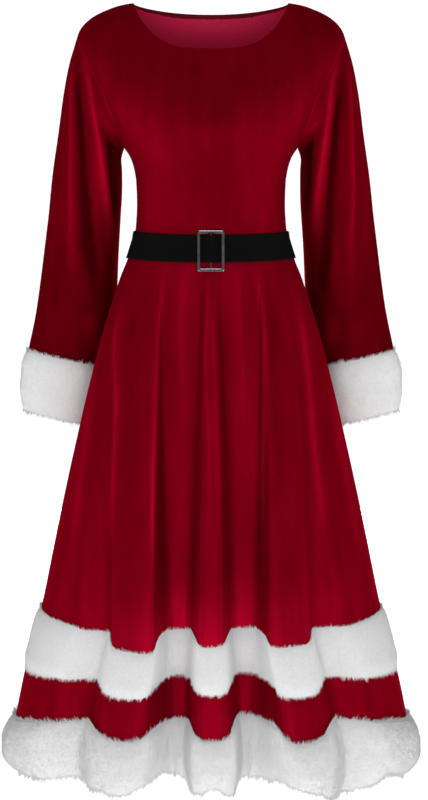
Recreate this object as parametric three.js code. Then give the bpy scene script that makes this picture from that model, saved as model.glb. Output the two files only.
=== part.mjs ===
// A long-sleeved festive costume dress, filled out as it hangs on its wearer.
//
// Millimetres, +Z up, +X to the right of somebody who faces the dress, front towards -Y. The origin
// is midway between the two shoulder points beside the neck, where the wearer's shoulders carry it.
//
// The velvet bodice is cut in a front and a back, with a long sleeve set into each armhole. The
// flared skirt falls in deep folds: a velvet tier, a band of white pile, a velvet band and a hem of
// pile. Each tier is cut in a front and a back, sewn together at the sides. A cuff of the same pile
// ends each sleeve, and a black strap runs round the waist through a metal slide buckle.
//
// Every piece is a wall: a grid of outer points, and inner points set off towards the hollow.

import * as THREE from "three";

// Cloth and seams
const VELVET = 2; // thickness of a velvet wall
const BACKING = 2; // knitted ground under the pile
const SEAM = 0.3; // gap between two pieces that are sewn together
const BAND_PILE = 10; // length of the pile on the skirt's middle band
const HEM_PILE = 19;
const CUFF_PILE = 13;

// Levels of the seams at the sides
const WAIST_Z = -345;
const TIER_Z = -902; // velvet tier to pile band
const BAND_Z = -992; // pile band to velvet band
const LOWER_Z = -1070; // velvet band to pile hem
const HEM_Z = -1160;

// Neck and armholes
const NECK_HALF = 115; // from the centre to the shoulder point beside the neck
const FRONT_NECK_DROP = 71;
const BACK_NECK_DROP = 11;
const TIP = { x: 199, z: -52 }; // outer end of the shoulder seam
const ARMPIT = { x: 129, z: -212 };
const ARMHOLE_BOW = 5; // how far the armhole seam bows towards the neck

// Belt and buckle
const BELT = { top: -335, height: 40, thickness: 2, clearance: 1.2, lift: 6.6 };
const BUCKLE = { width: 40, height: 60, bar: 4.6, thickness: 2.6, z: -362, gap: 0.4 };

// How square the level sections are: 2 is an ellipse.
const SQUARE = 2.2;

// Folds stand out towards the front and back more than sideways, by this share.
const FOLD_SIDEWAYS = 0.5;

// How far the pile on a fold's flank leans sideways, off the line straight out from the section.
const PILE_SPREAD = 0.45;

// Steps along and around the pieces
const BODICE_LOWER_ROWS = 6;
const ARMHOLE_ROWS = 9;
const NECK_COLUMNS = 7;
const NECK_BUNCHING = 1.7; // how much closer the neck's columns are at the shoulder than in the middle
const SHOULDER_COLUMNS = 7;
const STEPS_PER_FOLD = 3;
const BELT_STEPS = 27;

// The body of the dress at each height, down to the waist: half its width, and how far the front
// and the back stand from the middle. Above the armpit the width is that of the closed body, which
// the armhole cuts.
const TORSO = [
  { z: 0, half: 115, front: 54, back: 60 },
  { z: -20, half: 175, front: 66, back: 74 },
  { z: -52, half: 199, front: 80, back: 89 },
  { z: -80, half: 193, front: 92, back: 98 },
  { z: -105, half: 183, front: 103, back: 103 },
  { z: -130, half: 172, front: 114, back: 106 },
  { z: -156, half: 160, front: 122, back: 107 },
  { z: -185, half: 144, front: 126, back: 105 },
  { z: -212, half: 129, front: 123, back: 101 },
  { z: -226, half: 120, front: 119, back: 98 },
  { z: -243, half: 114.5, front: 113, back: 94 },
  { z: -262, half: 111.5, front: 106, back: 90 },
  { z: -295, half: 110.5, front: 95, back: 85 },
  { z: -325, half: 112, front: 88, back: 83 },
  { z: -349, half: 115.5, front: 88, back: 84 },
];

// The shoulder's outline from the neck to its tip.
const SHOULDER = [
  { x: 115, z: 0 },
  { x: 134, z: -3 },
  { x: 157, z: -11 },
  { x: 174, z: -19.5 },
  { x: 187, z: -30 },
  { x: 195, z: -41 },
  { x: 199, z: -52 },
];

// The skirt at each height along its side seam. Folds stand in and out of the section by fold. Rise
// is how much higher the same level lies at the centre front and back than at the sides, and the
// larger spread is, the nearer the sides it gets there.
const SKIRT = [
  { z: -345, half: 114.5, front: 88, back: 84, fold: 0, rise: -3.5, spread: 2 },
  { z: -376, half: 124.5, front: 93.5, back: 91, fold: 0, rise: -3.5, spread: 2 },
  { z: -402, half: 135, front: 98.5, back: 99, fold: 2.5, rise: -4, spread: 2 },
  { z: -438, half: 147, front: 106, back: 110, fold: 6, rise: -5, spread: 2 },
  { z: -485, half: 162, front: 117, back: 121, fold: 10, rise: -6, spread: 2 },
  { z: -547, half: 178.5, front: 130, back: 133, fold: 14, rise: -8, spread: 2 },
  { z: -620, half: 196.5, front: 142, back: 145, fold: 19, rise: -10, spread: 2 },
  { z: -696, half: 214, front: 152, back: 157, fold: 24, rise: -12, spread: 2 },
  { z: -788, half: 234, front: 163, back: 170, fold: 31, rise: -14, spread: 2 },
  { z: -902, half: 257.5, front: 176, back: 185, fold: 39, rise: -15, spread: 2 },
  { z: -950, half: 269, front: 183, back: 191, fold: 41, rise: -2, spread: 3 },
  { z: -992, half: 281.5, front: 189, back: 197, fold: 43, rise: 12, spread: 4 },
  { z: -1036, half: 291.5, front: 196, back: 202, fold: 44, rise: 20, spread: 5 },
  { z: -1070, half: 298, front: 201, back: 208, fold: 45, rise: 27, spread: 6 },
  { z: -1114, half: 305, front: 207, back: 214, fold: 47, rise: 34, spread: 7 },
  { z: -1160, half: 307, front: 212, back: 220, fold: 48, rise: 41, spread: 7 },
];

// The edges of the skirt's folds, in degrees round from the centre front: where each starts under
// the belt, where it meets the pile band and where it ends at the hem, how far it stands out (1) or
// in (-1), and how much lower it hangs at the band and at the hem. Between two edges that stand
// equally far out the cloth is flat.
const FOLDS = [
  { top: -90, tier: -90, hem: -90, out: 0, drop: 0, hemDrop: 0 },
  { top: -87, tier: -50, hem: -55, out: 0.15, drop: 0, hemDrop: 0 },
  { top: -82, tier: -34.5, hem: -38, out: -0.55, drop: 5, hemDrop: 0 },
  { top: -78, tier: -29, hem: -26, out: 0.9, drop: 13, hemDrop: 0 },
  { top: -42, tier: -15.8, hem: -17, out: 1, drop: 14, hemDrop: 0 },
  { top: -37, tier: -12.8, hem: -9, out: -0.9, drop: -3, hemDrop: 0 },
  { top: -5, tier: -5.6, hem: -5.2, out: -1, drop: -4, hemDrop: 0 },
  { top: -1.5, tier: -2.7, hem: -2.7, out: 1, drop: 1, hemDrop: 0 },
  { top: 1, tier: 2.9, hem: 3.9, out: 1, drop: 0, hemDrop: 0 },
  { top: 5, tier: 5.6, hem: 6.5, out: -1, drop: -5, hemDrop: -8 },
  { top: 35, tier: 13.6, hem: 9.6, out: -0.9, drop: -5, hemDrop: -8 },
  { top: 40, tier: 16.4, hem: 20, out: 1, drop: 5, hemDrop: 10 },
  { top: 62, tier: 29, hem: 27, out: 0.9, drop: 6, hemDrop: 10 },
  { top: 67, tier: 34.5, hem: 38.5, out: -0.55, drop: 0, hemDrop: 0 },
  { top: 80, tier: 50, hem: 55, out: 0.15, drop: 0, hemDrop: 0 },
  { top: 90, tier: 90, hem: 90, out: 0, drop: 0, hemDrop: 0 },
  { top: 103, tier: 104, hem: 104, out: -0.8, drop: 0, hemDrop: 0 },
  { top: 129, tier: 130, hem: 130, out: -0.85, drop: 0, hemDrop: 0 },
  { top: 138, tier: 138, hem: 137, out: 0.8, drop: 4, hemDrop: 3 },
  { top: 148, tier: 148, hem: 149, out: 0.9, drop: 4, hemDrop: 3 },
  { top: 153, tier: 153, hem: 154, out: -0.9, drop: -3, hemDrop: -4 },
  { top: 159, tier: 160, hem: 160, out: -0.9, drop: -3, hemDrop: -4 },
  { top: 164, tier: 165, hem: 165, out: 0.9, drop: 3, hemDrop: 0 },
  { top: 173, tier: 174, hem: 175, out: 0.95, drop: 3, hemDrop: 0 },
  { top: 178, tier: 179, hem: 180, out: -0.85, drop: -4, hemDrop: -3 },
  { top: 186, tier: 186, hem: 185.5, out: -0.85, drop: -4, hemDrop: -3 },
  { top: 191, tier: 191, hem: 190.5, out: 0.9, drop: 5, hemDrop: 4 },
  { top: 202, tier: 201, hem: 200, out: 0.95, drop: 5, hemDrop: 4 },
  { top: 207, tier: 206, hem: 205, out: -0.9, drop: -2, hemDrop: -3 },
  { top: 213, tier: 212, hem: 212, out: -0.9, drop: -2, hemDrop: -3 },
  { top: 219, tier: 217, hem: 217, out: 0.9, drop: 4, hemDrop: 2 },
  { top: 227, tier: 226, hem: 226, out: 0.8, drop: 4, hemDrop: 2 },
  { top: 235, tier: 233, hem: 232, out: -0.85, drop: 0, hemDrop: 0 },
  { top: 257, tier: 256, hem: 256, out: -0.8, drop: 0, hemDrop: 0 },
  { top: 270, tier: 270, hem: 270, out: 0, drop: 0, hemDrop: 0 },
];
const SIDE_SEAM = FOLDS.findIndex(({ hem }) => hem === 90);
const FRONT_FOLDS = FOLDS.slice(0, SIDE_SEAM + 1);
const BACK_FOLDS = FOLDS.slice(SIDE_SEAM);

// The sleeve's rings below the armhole: its outer and inner edge, and half its depth. The last ring
// is the cuff's seam.
const SLEEVE = [
  { outX: 209, outY: 3, outZ: -84, inX: 133, inY: 3, inZ: -226, depth: 52 },
  { outX: 217.5, outY: 6, outZ: -130, inX: 132.5, inY: 9, inZ: -247, depth: 54 },
  { outX: 225, outY: 11, outZ: -187, inX: 132.5, inY: 18, inZ: -279, depth: 53 },
  { outX: 234, outY: 19, outZ: -250, inX: 134.5, inY: 32, inZ: -318, depth: 51 },
  { outX: 243, outY: 31, outZ: -328, inX: 138, inY: 51, inZ: -372, depth: 48 },
  { outX: 253, outY: 44, outZ: -402, inX: 142, inY: 73, inZ: -431, depth: 45 },
  { outX: 264, outY: 57, outZ: -465, inX: 150, inY: 94, inZ: -490, depth: 42 },
  { outX: 277, outY: 68, outZ: -521, inX: 161, inY: 114, inZ: -547, depth: 40 },
];
const CUFF_END = { outX: 283, outY: 78, outZ: -614, inX: 170, inY: 132, inZ: -640, depth: 41 };

// How far over the buckle's centre bar the strap stands, from the centre to behind the side bars.
const BELT_FRONT = [
  { x: 0, over: 1 },
  { x: 3, over: 1 },
  { x: 6, over: 0.8 },
  { x: 9, over: 0.46 },
  { x: 12, over: 0.14 },
  { x: 15, over: 0 },
  { x: 21, over: 0 },
];

// Long soft folds round the sleeve: how many, and how far they stand in and out at each ring.
const SLEEVE_FOLDS = 3;
const SLEEVE_FOLD_TURN = 0.9;
const SLEEVE_FOLD_DEPTH = [0, 1.5, 3, 4, 4.5, 4.5, 4.5, 4, 3];

// How thick the pile stands from one edge of a strip to the other, as shares of its length.
const BAND_PROFILE = [
  { at: 0, pile: 0.1 },
  { at: 0.13, pile: 0.75 },
  { at: 0.42, pile: 1 },
  { at: 0.76, pile: 0.9 },
  { at: 1, pile: 0.15 },
];
const HEM_PROFILE = [
  { at: 0, pile: 0.1 },
  { at: 0.1, pile: 0.62 },
  { at: 0.34, pile: 1 },
  { at: 0.64, pile: 1 },
  { at: 0.88, pile: 0.65 },
  { at: 1, pile: 0.3 },
];

const mix = (a, b, t) => a + (b - a) * t;
const smooth = (t) => t * t * (3 - 2 * t);
const radians = (degrees) => (degrees * Math.PI) / 180;
const squared = (value) => Math.sign(value) * Math.abs(value) ** (2 / SQUARE);
const steps = (count, first = 0, last = 1) =>
  Array.from({ length: count + 1 }, (_, i) => mix(first, last, i / count));

// A table's column at a place along its key, on a smooth curve that never overshoots its rows.
function valueAt(table, key, column, place) {
  const down = table[0][key] > table[table.length - 1][key];
  const rows = down ? [...table].reverse() : table;
  const last = rows.length - 1;
  const x = Math.min(Math.max(place, rows[0][key]), rows[last][key]);
  let i = 0;
  while (i < last - 1 && x > rows[i + 1][key]) i += 1;
  const slope = (k) =>
    (rows[k + 1][column] - rows[k][column]) / (rows[k + 1][key] - rows[k][key]);
  const tangent = (k) => {
    if (k === 0) return slope(0);
    if (k === last) return slope(last - 1);
    const [before, after] = [slope(k - 1), slope(k)];
    return before * after <= 0 ? 0 : (2 * before * after) / (before + after);
  };
  const width = rows[i + 1][key] - rows[i][key];
  const t = (x - rows[i][key]) / width;
  return (
    rows[i][column] * (1 + 2 * t) * (1 - t) ** 2 +
    tangent(i) * width * t * (1 - t) ** 2 +
    rows[i + 1][column] * t * t * (3 - 2 * t) +
    tangent(i + 1) * width * t * t * (t - 1)
  );
}

// A closed wall from a grid of outer points and the matching inner points. A tube's columns close
// on themselves, and a panel's end in two more rims.
function wall(name, material, outer, inner, isTube) {
  const [rows, columns] = [outer.length, outer[0].length];
  const index = [];
  const at = (side, i, j) => (side * rows + i) * columns + (j % columns);
  const quad = (a, b, c, d) => index.push(a, b, c, a, c, d);
  const lastColumn = isTube ? columns : columns - 1;
  for (let j = 0; j < lastColumn; j += 1) {
    for (let i = 0; i < rows - 1; i += 1) {
      quad(at(0, i, j), at(0, i, j + 1), at(0, i + 1, j + 1), at(0, i + 1, j));
      quad(at(1, i, j), at(1, i + 1, j), at(1, i + 1, j + 1), at(1, i, j + 1));
    }
    const end = rows - 1;
    quad(at(0, 0, j), at(1, 0, j), at(1, 0, j + 1), at(0, 0, j + 1));
    quad(at(0, end, j), at(0, end, j + 1), at(1, end, j + 1), at(1, end, j));
  }
  for (let i = 0; !isTube && i < rows - 1; i += 1) {
    const end = columns - 1;
    quad(at(0, i, 0), at(0, i + 1, 0), at(1, i + 1, 0), at(1, i, 0));
    quad(at(0, i, end), at(1, i, end), at(1, i + 1, end), at(0, i + 1, end));
  }
  const points = [...outer.flat(), ...inner.flat()];
  return closedMesh(name, material, points, index);
}

// A mesh whose faces point outwards, whichever way round its triangles were listed.
function closedMesh(name, material, points, index) {
  let volume = 0;
  for (let i = 0; i < index.length; i += 3) {
    const [a, b, c] = [points[index[i]], points[index[i + 1]], points[index[i + 2]]];
    volume += a.dot(new THREE.Vector3().crossVectors(b, c));
  }
  const faces = volume < 0 ? [...index].reverse() : index;
  const geometry = new THREE.BufferGeometry().setFromPoints(points);
  geometry.setIndex(faces);
  geometry.computeVertexNormals();
  const mesh = new THREE.Mesh(geometry, material);
  mesh.name = name;
  return mesh;
}

// Unit normals of a grid of points, all to the side that mostly faces away from the middle.
function normalsOf(grid) {
  let away = 0;
  const normals = grid.map((row, i) =>
    row.map((point, j) => {
      const above = grid[Math.max(i - 1, 0)][j];
      const below = grid[Math.min(i + 1, grid.length - 1)][j];
      const left = row[Math.max(j - 1, 0)];
      const right = row[Math.min(j + 1, row.length - 1)];
      const along = new THREE.Vector3().subVectors(below, above);
      const across = new THREE.Vector3().subVectors(right, left);
      const normal = new THREE.Vector3().crossVectors(along, across).normalize();
      away += point.x * normal.x + point.y * normal.y;
      return normal;
    }),
  );
  return away < 0 ? normals.map((row) => row.map((normal) => normal.negate())) : normals;
}

const level = (vector) => vector.setZ(0).normalize();

// The torso

// Half the closed body's width, which follows the shoulder above its tip.
function halfAt(z) {
  if (z <= TIP.z) return valueAt(TORSO, "z", "half", z);
  let [near, far] = [NECK_HALF, TIP.x];
  for (let i = 0; i < 40; i += 1) {
    const middle = (near + far) / 2;
    if (valueAt(SHOULDER, "x", "z", middle) > z) near = middle;
    else far = middle;
  }
  return (near + far) / 2;
}

// How far the front (side -1) or back (side 1) stands from the middle.
function torsoY(side, x, z) {
  const depth = valueAt(TORSO, "z", side < 0 ? "front" : "back", z);
  const share = Math.min(Math.abs(x) / halfAt(z), 1);
  return side * depth * (1 - share ** SQUARE) ** (1 / SQUARE);
}

// The armhole seam as seen from the front, and a ring of it that is inset by a distance.
function armholeX(z) {
  const up = (z - ARMPIT.z) / (TIP.z - ARMPIT.z);
  return mix(ARMPIT.x, TIP.x, up) - ARMHOLE_BOW * 4 * up * (1 - up);
}

function armholePoint(hand, side, up, inset = 0) {
  const middle = (TIP.z + ARMPIT.z) / 2;
  const reach = (TIP.z - ARMPIT.z) / 2;
  const z = middle + reach * (2 * up - 1);
  const y = up <= 0 || up >= 1 ? 0 : torsoY(side, armholeX(z), z);
  const shrunk = middle + (reach - inset) * (2 * up - 1);
  const depth = Math.max(Math.abs(y) - inset * 2 * Math.sqrt(up * (1 - up)), 0);
  return new THREE.Vector3(hand * armholeX(shrunk), side * depth, shrunk);
}

// The neckline's drop at a place across it, from the shoulder points.
function necklineZ(side, x) {
  const share = Math.min(Math.abs(x) / NECK_HALF, 1);
  return side < 0
    ? -FRONT_NECK_DROP * (1 - share ** 3.4) ** 0.9
    : -BACK_NECK_DROP * (1 - share ** 2.2);
}

// The bodice's columns, as angles from the centre: across the neck, closer together towards the
// shoulder, and then in even steps along the shoulder to the armhole.
function bodiceAngles() {
  const neck = Math.asin((NECK_HALF / TIP.x) ** (SQUARE / 2));
  const half = [
    ...steps(NECK_COLUMNS).map((t) => neck * (1 - (1 - t) ** NECK_BUNCHING)),
    ...steps(SHOULDER_COLUMNS, neck, Math.PI / 2).slice(1),
  ];
  return [...half.slice(1).map((a) => -a).reverse(), ...half];
}

// Waist to armpit on even rows, then to the neckline and shoulder on rows that bunch at both ends,
// as the armhole's points do.
function bodicePanel(name, material, side) {
  const angles = bodiceAngles();
  const edge = Math.PI / 2 - 1e-6;
  const waist = (angle) => WAIST_Z + SEAM / 2 + SKIRT[0].rise * Math.cos(angle) ** 2;
  const lower = steps(BODICE_LOWER_ROWS).map((up) =>
    angles.map((angle) => {
      const z = mix(waist(angle), ARMPIT.z, up);
      const y = Math.abs(angle) > edge ? 0 : torsoY(side, halfAt(z) * squared(Math.sin(angle)), z);
      return new THREE.Vector3(halfAt(z) * squared(Math.sin(angle)), y, z);
    }),
  );
  const rises = steps(ARMHOLE_ROWS, 0, Math.PI).map((turn) => (1 - Math.cos(turn)) / 2);
  const upper = rises.slice(1).map((up) =>
    angles.map((angle) => {
      if (Math.abs(angle) > edge) return armholePoint(Math.sign(angle), side, up);
      const topX = TIP.x * squared(Math.sin(angle));
      const isNeck = Math.abs(topX) <= NECK_HALF + 1e-6;
      const topZ = isNeck ? necklineZ(side, topX) : valueAt(SHOULDER, "x", "z", Math.abs(topX));
      const z = mix(ARMPIT.z, topZ, up);
      const x = armholeX(mix(ARMPIT.z, TIP.z, up)) * squared(Math.sin(angle));
      const onShoulder = up === 1 && Math.abs(topX) > NECK_HALF - 1e-6;
      return new THREE.Vector3(x, onShoulder ? 0 : torsoY(side, x, z), z);
    }),
  );
  const outer = [...lower, ...upper];
  const normals = normalsOf(outer);
  const armholeSlope = new THREE.Vector3(TIP.z - ARMPIT.z, 0, ARMPIT.x - TIP.x).normalize();
  const inner = outer.map((row, i) =>
    row.map((point, j) => {
      const inwards = normals[i][j].clone().negate();
      const isSide = Math.abs(angles[j]) > edge;
      if (i === 0) level(inwards);
      if (isSide && i <= BODICE_LOWER_ROWS) inwards.set(-Math.sign(angles[j]), 0, 0);
      if (isSide && i > BODICE_LOWER_ROWS) {
        const out = armholeSlope.clone().setX(armholeSlope.x * Math.sign(angles[j]));
        inwards.addScaledVector(out, -Math.max(inwards.dot(out), 0)).normalize();
      }
      const onShoulder = i === outer.length - 1 && Math.abs(point.y) < 1e-6;
      if (onShoulder) inwards.setY(0).normalize();
      return point.clone().addScaledVector(inwards, VELVET);
    }),
  );
  [outer, inner].forEach((grid) => clearOfMiddle(grid, side));
  return wall(name, material, outer, inner, false);
}

// Sets a panel's side and shoulder edges half a seam off the plane between front and back.
function clearOfMiddle(grid, side) {
  grid.forEach((row) =>
    row.forEach((point) => {
      if (point.y * side < SEAM / 2) point.y = (side * SEAM) / 2;
    }),
  );
}

// The skirt

// How far down the velvet tier's flare a level lies, and how far down from there to the hem.
function flareAt(z) {
  const [waist, tier] = [SKIRT[0].half, valueAt(SKIRT, "z", "half", TIER_Z)];
  const flare = (1 - waist / valueAt(SKIRT, "z", "half", z)) / (1 - waist / tier);
  return z > TIER_Z ? [flare, 0] : [1, (z - TIER_Z) / (HEM_Z - TIER_Z)];
}

// One level of the skirt through a run of folds: points on the cloth, and the outward direction of
// the unfolded section at each.
function skirtRow(folds, z, shift) {
  const columns = ["half", "front", "back", "fold", "rise", "spread"];
  const [half, front, back, fold, rise, spread] = columns.map((column) =>
    valueAt(SKIRT, "z", column, z),
  );
  const [flare, fall] = flareAt(z);
  const between = (k, column, t) => mix(folds[k][column], folds[k + 1][column], t);
  const row = [];
  for (let k = 0; k < folds.length - 1; k += 1) {
    const isLast = k === folds.length - 2;
    for (let step = 0; step < STEPS_PER_FOLD + (isLast ? 1 : 0); step += 1) {
      const t = step / STEPS_PER_FOLD;
      const inTier = mix(between(k, "top", t), between(k, "tier", t), flare);
      const angle = radians(mix(inTier, between(k, "hem", t), fall));
      const out = fold * between(k, "out", smooth(t));
      const drop = flare * mix(between(k, "drop", smooth(t)), between(k, "hemDrop", smooth(t)), fall);
      const depth = Math.cos(angle) > 0 ? front : back;
      const [sine, cosine] = [squared(Math.sin(angle)), squared(Math.cos(angle))];
      const away = new THREE.Vector3(
        (Math.sign(sine) * Math.abs(sine) ** (SQUARE - 1)) / half,
        (-Math.sign(cosine) * Math.abs(cosine) ** (SQUARE - 1)) / depth,
        0,
      ).normalize();
      const outwards = new THREE.Vector3(away.x * FOLD_SIDEWAYS, away.y, 0).normalize();
      const lift = rise * (1 - Math.abs(Math.sin(angle)) ** spread) - drop;
      const point = new THREE.Vector3(half * sine, -depth * cosine, z + lift + shift);
      row.push({ point: point.addScaledVector(outwards, out), away });
    }
  }
  return row;
}

// The directions to the hollow of a skirt piece: square to the cloth, level at its seams, and
// straight inwards at its sides.
function skirtInwards(cloth) {
  const normals = normalsOf(cloth);
  return normals.map((row, i) =>
    row.map((normal, j) => {
      const inwards = normal.clone().negate();
      if (i === 0 || i === normals.length - 1) level(inwards);
      if (j === 0 || j === row.length - 1) inwards.set(-Math.sign(cloth[i][j].x), 0, 0);
      return inwards;
    }),
  );
}

function skirtGrid(folds, levels) {
  return levels.map((z, i) => {
    const shift = i === 0 ? -SEAM / 2 : i === levels.length - 1 ? SEAM / 2 : 0;
    return skirtRow(folds, z, shift);
  });
}

function velvetTier(name, material, folds, levels) {
  const side = folds === FRONT_FOLDS ? -1 : 1;
  const outer = skirtGrid(folds, levels).map((row) => row.map(({ point }) => point));
  const inwards = skirtInwards(outer);
  const inner = outer.map((row, i) =>
    row.map((point, j) => point.clone().addScaledVector(inwards[i][j], VELVET)),
  );
  [outer, inner].forEach((grid) => clearOfSides(grid, side));
  return wall(name, material, outer, inner, false);
}

// A tier of pile: the same cloth, with the pile standing outwards from it by a profile.
function pileTier(name, material, folds, top, bottom, length, profile) {
  const side = folds === FRONT_FOLDS ? -1 : 1;
  const cloth = skirtGrid(folds, profile.map(({ at }) => mix(top, bottom, at)));
  const points = cloth.map((row) => row.map(({ point }) => point));
  const inwards = skirtInwards(points);
  const outer = cloth.map((row, i) =>
    row.map(({ point, away }, j) => {
      const lean = away.clone().addScaledVector(inwards[i][j], -PILE_SPREAD).setZ(0).normalize();
      return point.clone().addScaledVector(lean, length * profile[i].pile);
    }),
  );
  const inner = points.map((row, i) =>
    row.map((point, j) => point.clone().addScaledVector(inwards[i][j], BACKING)),
  );
  [outer, inner].forEach((grid) => clearOfSides(grid, side));
  return wall(name, material, outer, inner, false);
}

function clearOfSides(grid, side) {
  grid.forEach((row) =>
    [row[0], row[row.length - 1]].forEach((point) => {
      point.y = (side * SEAM) / 2;
    }),
  );
}

// The sleeves and cuffs

// Points round a ring from its outer edge over the front to its inner edge and back, shrunk or grown
// in its own plane.
function sleeveRing(hand, ring, foldDepth, grow) {
  const outEdge = new THREE.Vector3(hand * ring.outX, ring.outY, ring.outZ);
  const inEdge = new THREE.Vector3(hand * ring.inX, ring.inY, ring.inZ);
  const centre = new THREE.Vector3().addVectors(outEdge, inEdge).multiplyScalar(0.5);
  const half = outEdge.distanceTo(inEdge) / 2;
  const across = new THREE.Vector3().subVectors(outEdge, inEdge).normalize();
  const forward = new THREE.Vector3(0, -1, 0).addScaledVector(across, across.y).normalize();
  return steps(2 * ARMHOLE_ROWS, 0, 2 * Math.PI)
    .slice(0, -1)
    .map((turn) => {
      const wave = foldDepth * Math.cos(SLEEVE_FOLDS * turn + SLEEVE_FOLD_TURN);
      const [wide, deep] = [half + grow + wave, ring.depth + grow + wave];
      return centre
        .clone()
        .addScaledVector(across, wide * Math.cos(turn))
        .addScaledVector(forward, deep * Math.sin(turn));
    });
}

// The armhole's own ring, set off from the bodice by the seam.
function armholeRing(hand, inset) {
  const out = new THREE.Vector3(hand * (TIP.z - ARMPIT.z), 0, ARMPIT.x - TIP.x).normalize();
  return steps(2 * ARMHOLE_ROWS, 0, 2 * Math.PI)
    .slice(0, -1)
    .map((turn) => {
      const side = turn <= Math.PI ? -1 : 1;
      return armholePoint(hand, side, (1 + Math.cos(turn)) / 2, inset).addScaledVector(out, SEAM);
    });
}

function sleeve(name, material, hand) {
  const rings = (grow) => [
    armholeRing(hand, -grow),
    ...SLEEVE.map((ring, k) => sleeveRing(hand, ring, SLEEVE_FOLD_DEPTH[k + 1], grow)),
  ];
  return wall(name, material, rings(0), rings(-VELVET), true);
}

function cuff(name, material, hand) {
  const start = SLEEVE[SLEEVE.length - 1];
  const foldDepth = SLEEVE_FOLD_DEPTH[SLEEVE_FOLD_DEPTH.length - 1];
  const between = (at) => {
    const ring = {};
    Object.keys(start).forEach((column) => {
      ring[column] = mix(start[column], CUFF_END[column], at);
    });
    ring.outZ -= SEAM * (1 - at);
    ring.inZ -= SEAM * (1 - at);
    return ring;
  };
  const outer = HEM_PROFILE.map(({ at, pile }) =>
    sleeveRing(hand, between(at), foldDepth, CUFF_PILE * pile),
  );
  const inner = HEM_PROFILE.map(({ at }) => sleeveRing(hand, between(at), foldDepth, -BACKING));
  return wall(name, material, outer, inner, true);
}

// The belt

// The cloth's section under the belt at a height, grown outwards by a distance.
function waistPoint(angle, z, grow) {
  const onSkirt = z < WAIST_Z;
  const half = onSkirt ? valueAt(SKIRT, "z", "half", z) : halfAt(z);
  const column = Math.cos(angle) > 0 ? "front" : "back";
  const depth = valueAt(onSkirt ? SKIRT : TORSO, "z", column, z);
  return new THREE.Vector3(
    (half + grow) * squared(Math.sin(angle)),
    -(depth + grow) * squared(Math.cos(angle)),
    z + SKIRT[0].rise * Math.cos(angle) ** 2,
  );
}

// The strap runs behind the buckle's side bars and over its centre bar.
function belt(name, material) {
  const turnOf = (x) => Math.asin((x / valueAt(SKIRT, "z", "half", BUCKLE.z)) ** (SQUARE / 2));
  const half = BELT_FRONT.map(({ x }) => turnOf(x));
  const frontEdge = half[half.length - 1];
  const columns = [
    ...BELT_FRONT.map(({ over }, k) => ({ angle: -half[k], over })).reverse(),
    ...BELT_FRONT.map(({ over }, k) => ({ angle: half[k], over })).slice(1),
    ...steps(2 * BELT_STEPS, frontEdge, 2 * Math.PI - frontEdge)
      .slice(1, -1)
      .map((angle) => ({ angle, over: 0 })),
  ];
  const levels = steps(4, BELT.top, BELT.top - BELT.height);
  const grid = (grow) =>
    levels.map((z) => columns.map(({ angle, over }) => waistPoint(angle, z, grow + over * BELT.lift)));
  return wall(name, material, grid(BELT.clearance + BELT.thickness), grid(BELT.clearance), true);
}

// A flat frame with a centre bar, which leans on the strap's two edges: the filled cells of a grid
// of five columns and three rows, with a window on each side of the bar.
function buckle(name, material) {
  const { width, height, bar, thickness } = BUCKLE;
  const acrossLines = [-width / 2, bar - width / 2, -bar / 2, bar / 2, width / 2 - bar, width / 2];
  const upLines = [-height / 2, bar - height / 2, height / 2 - bar, height / 2];
  const isSolid = (i, j) => {
    const isWindow = j === 1 && (i === 1 || i === 3);
    return i >= 0 && i < 5 && j >= 0 && j < 3 && !isWindow;
  };
  const grow = BELT.clearance + BELT.thickness + BUCKLE.gap;
  const [high, low] = [BELT.top, BELT.top - BELT.height].map((z) => waistPoint(0, z, grow));
  const slope = (low.y - high.y) / (high.z - low.z);
  const lean = new THREE.Matrix4().makeRotationX(Math.atan(slope));
  lean.setPosition(0, high.y + slope * (high.z - BUCKLE.z), BUCKLE.z);
  const points = [0, -thickness].flatMap((y) =>
    upLines.flatMap((z) => acrossLines.map((x) => new THREE.Vector3(x, y, z).applyMatrix4(lean))),
  );
  const index = [];
  const at = (face, i, j) => (face * upLines.length + j) * acrossLines.length + i;
  const quad = (a, b, c, d) => index.push(a, b, c, a, c, d);
  for (let j = 0; j < 3; j += 1) {
    for (let i = 0; i < 5; i += 1) {
      if (!isSolid(i, j)) continue;
      quad(at(1, i, j), at(1, i + 1, j), at(1, i + 1, j + 1), at(1, i, j + 1));
      quad(at(0, i, j), at(0, i, j + 1), at(0, i + 1, j + 1), at(0, i + 1, j));
      const edges = [
        [!isSolid(i, j - 1), i, j, i + 1, j],
        [!isSolid(i + 1, j), i + 1, j, i + 1, j + 1],
        [!isSolid(i, j + 1), i + 1, j + 1, i, j + 1],
        [!isSolid(i - 1, j), i, j + 1, i, j],
      ];
      edges.forEach(([isOpen, i0, j0, i1, j1]) => {
        if (isOpen) quad(at(0, i0, j0), at(0, i1, j1), at(1, i1, j1), at(1, i0, j0));
      });
    }
  }
  return closedMesh(name, material, points, index);
}
const fabric = (color, roughness) => new THREE.MeshStandardMaterial({ color, roughness, metalness: 0 });
const velvet = fabric(0x7c0016, 0.65);
const pile = fabric(0xf1f1ef, 0.95);
const webbing = fabric(0x0d0d0e, 0.8);
const metal = new THREE.MeshStandardMaterial({ color: 0x9a9ca0, roughness: 0.2, metalness: 1 });

const TIER_LEVELS = [WAIST_Z, -376, -402, -438, -485, -547, -620, -700, -800, TIER_Z];
const LOWER_LEVELS = [BAND_Z, -1032, LOWER_Z];

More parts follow.
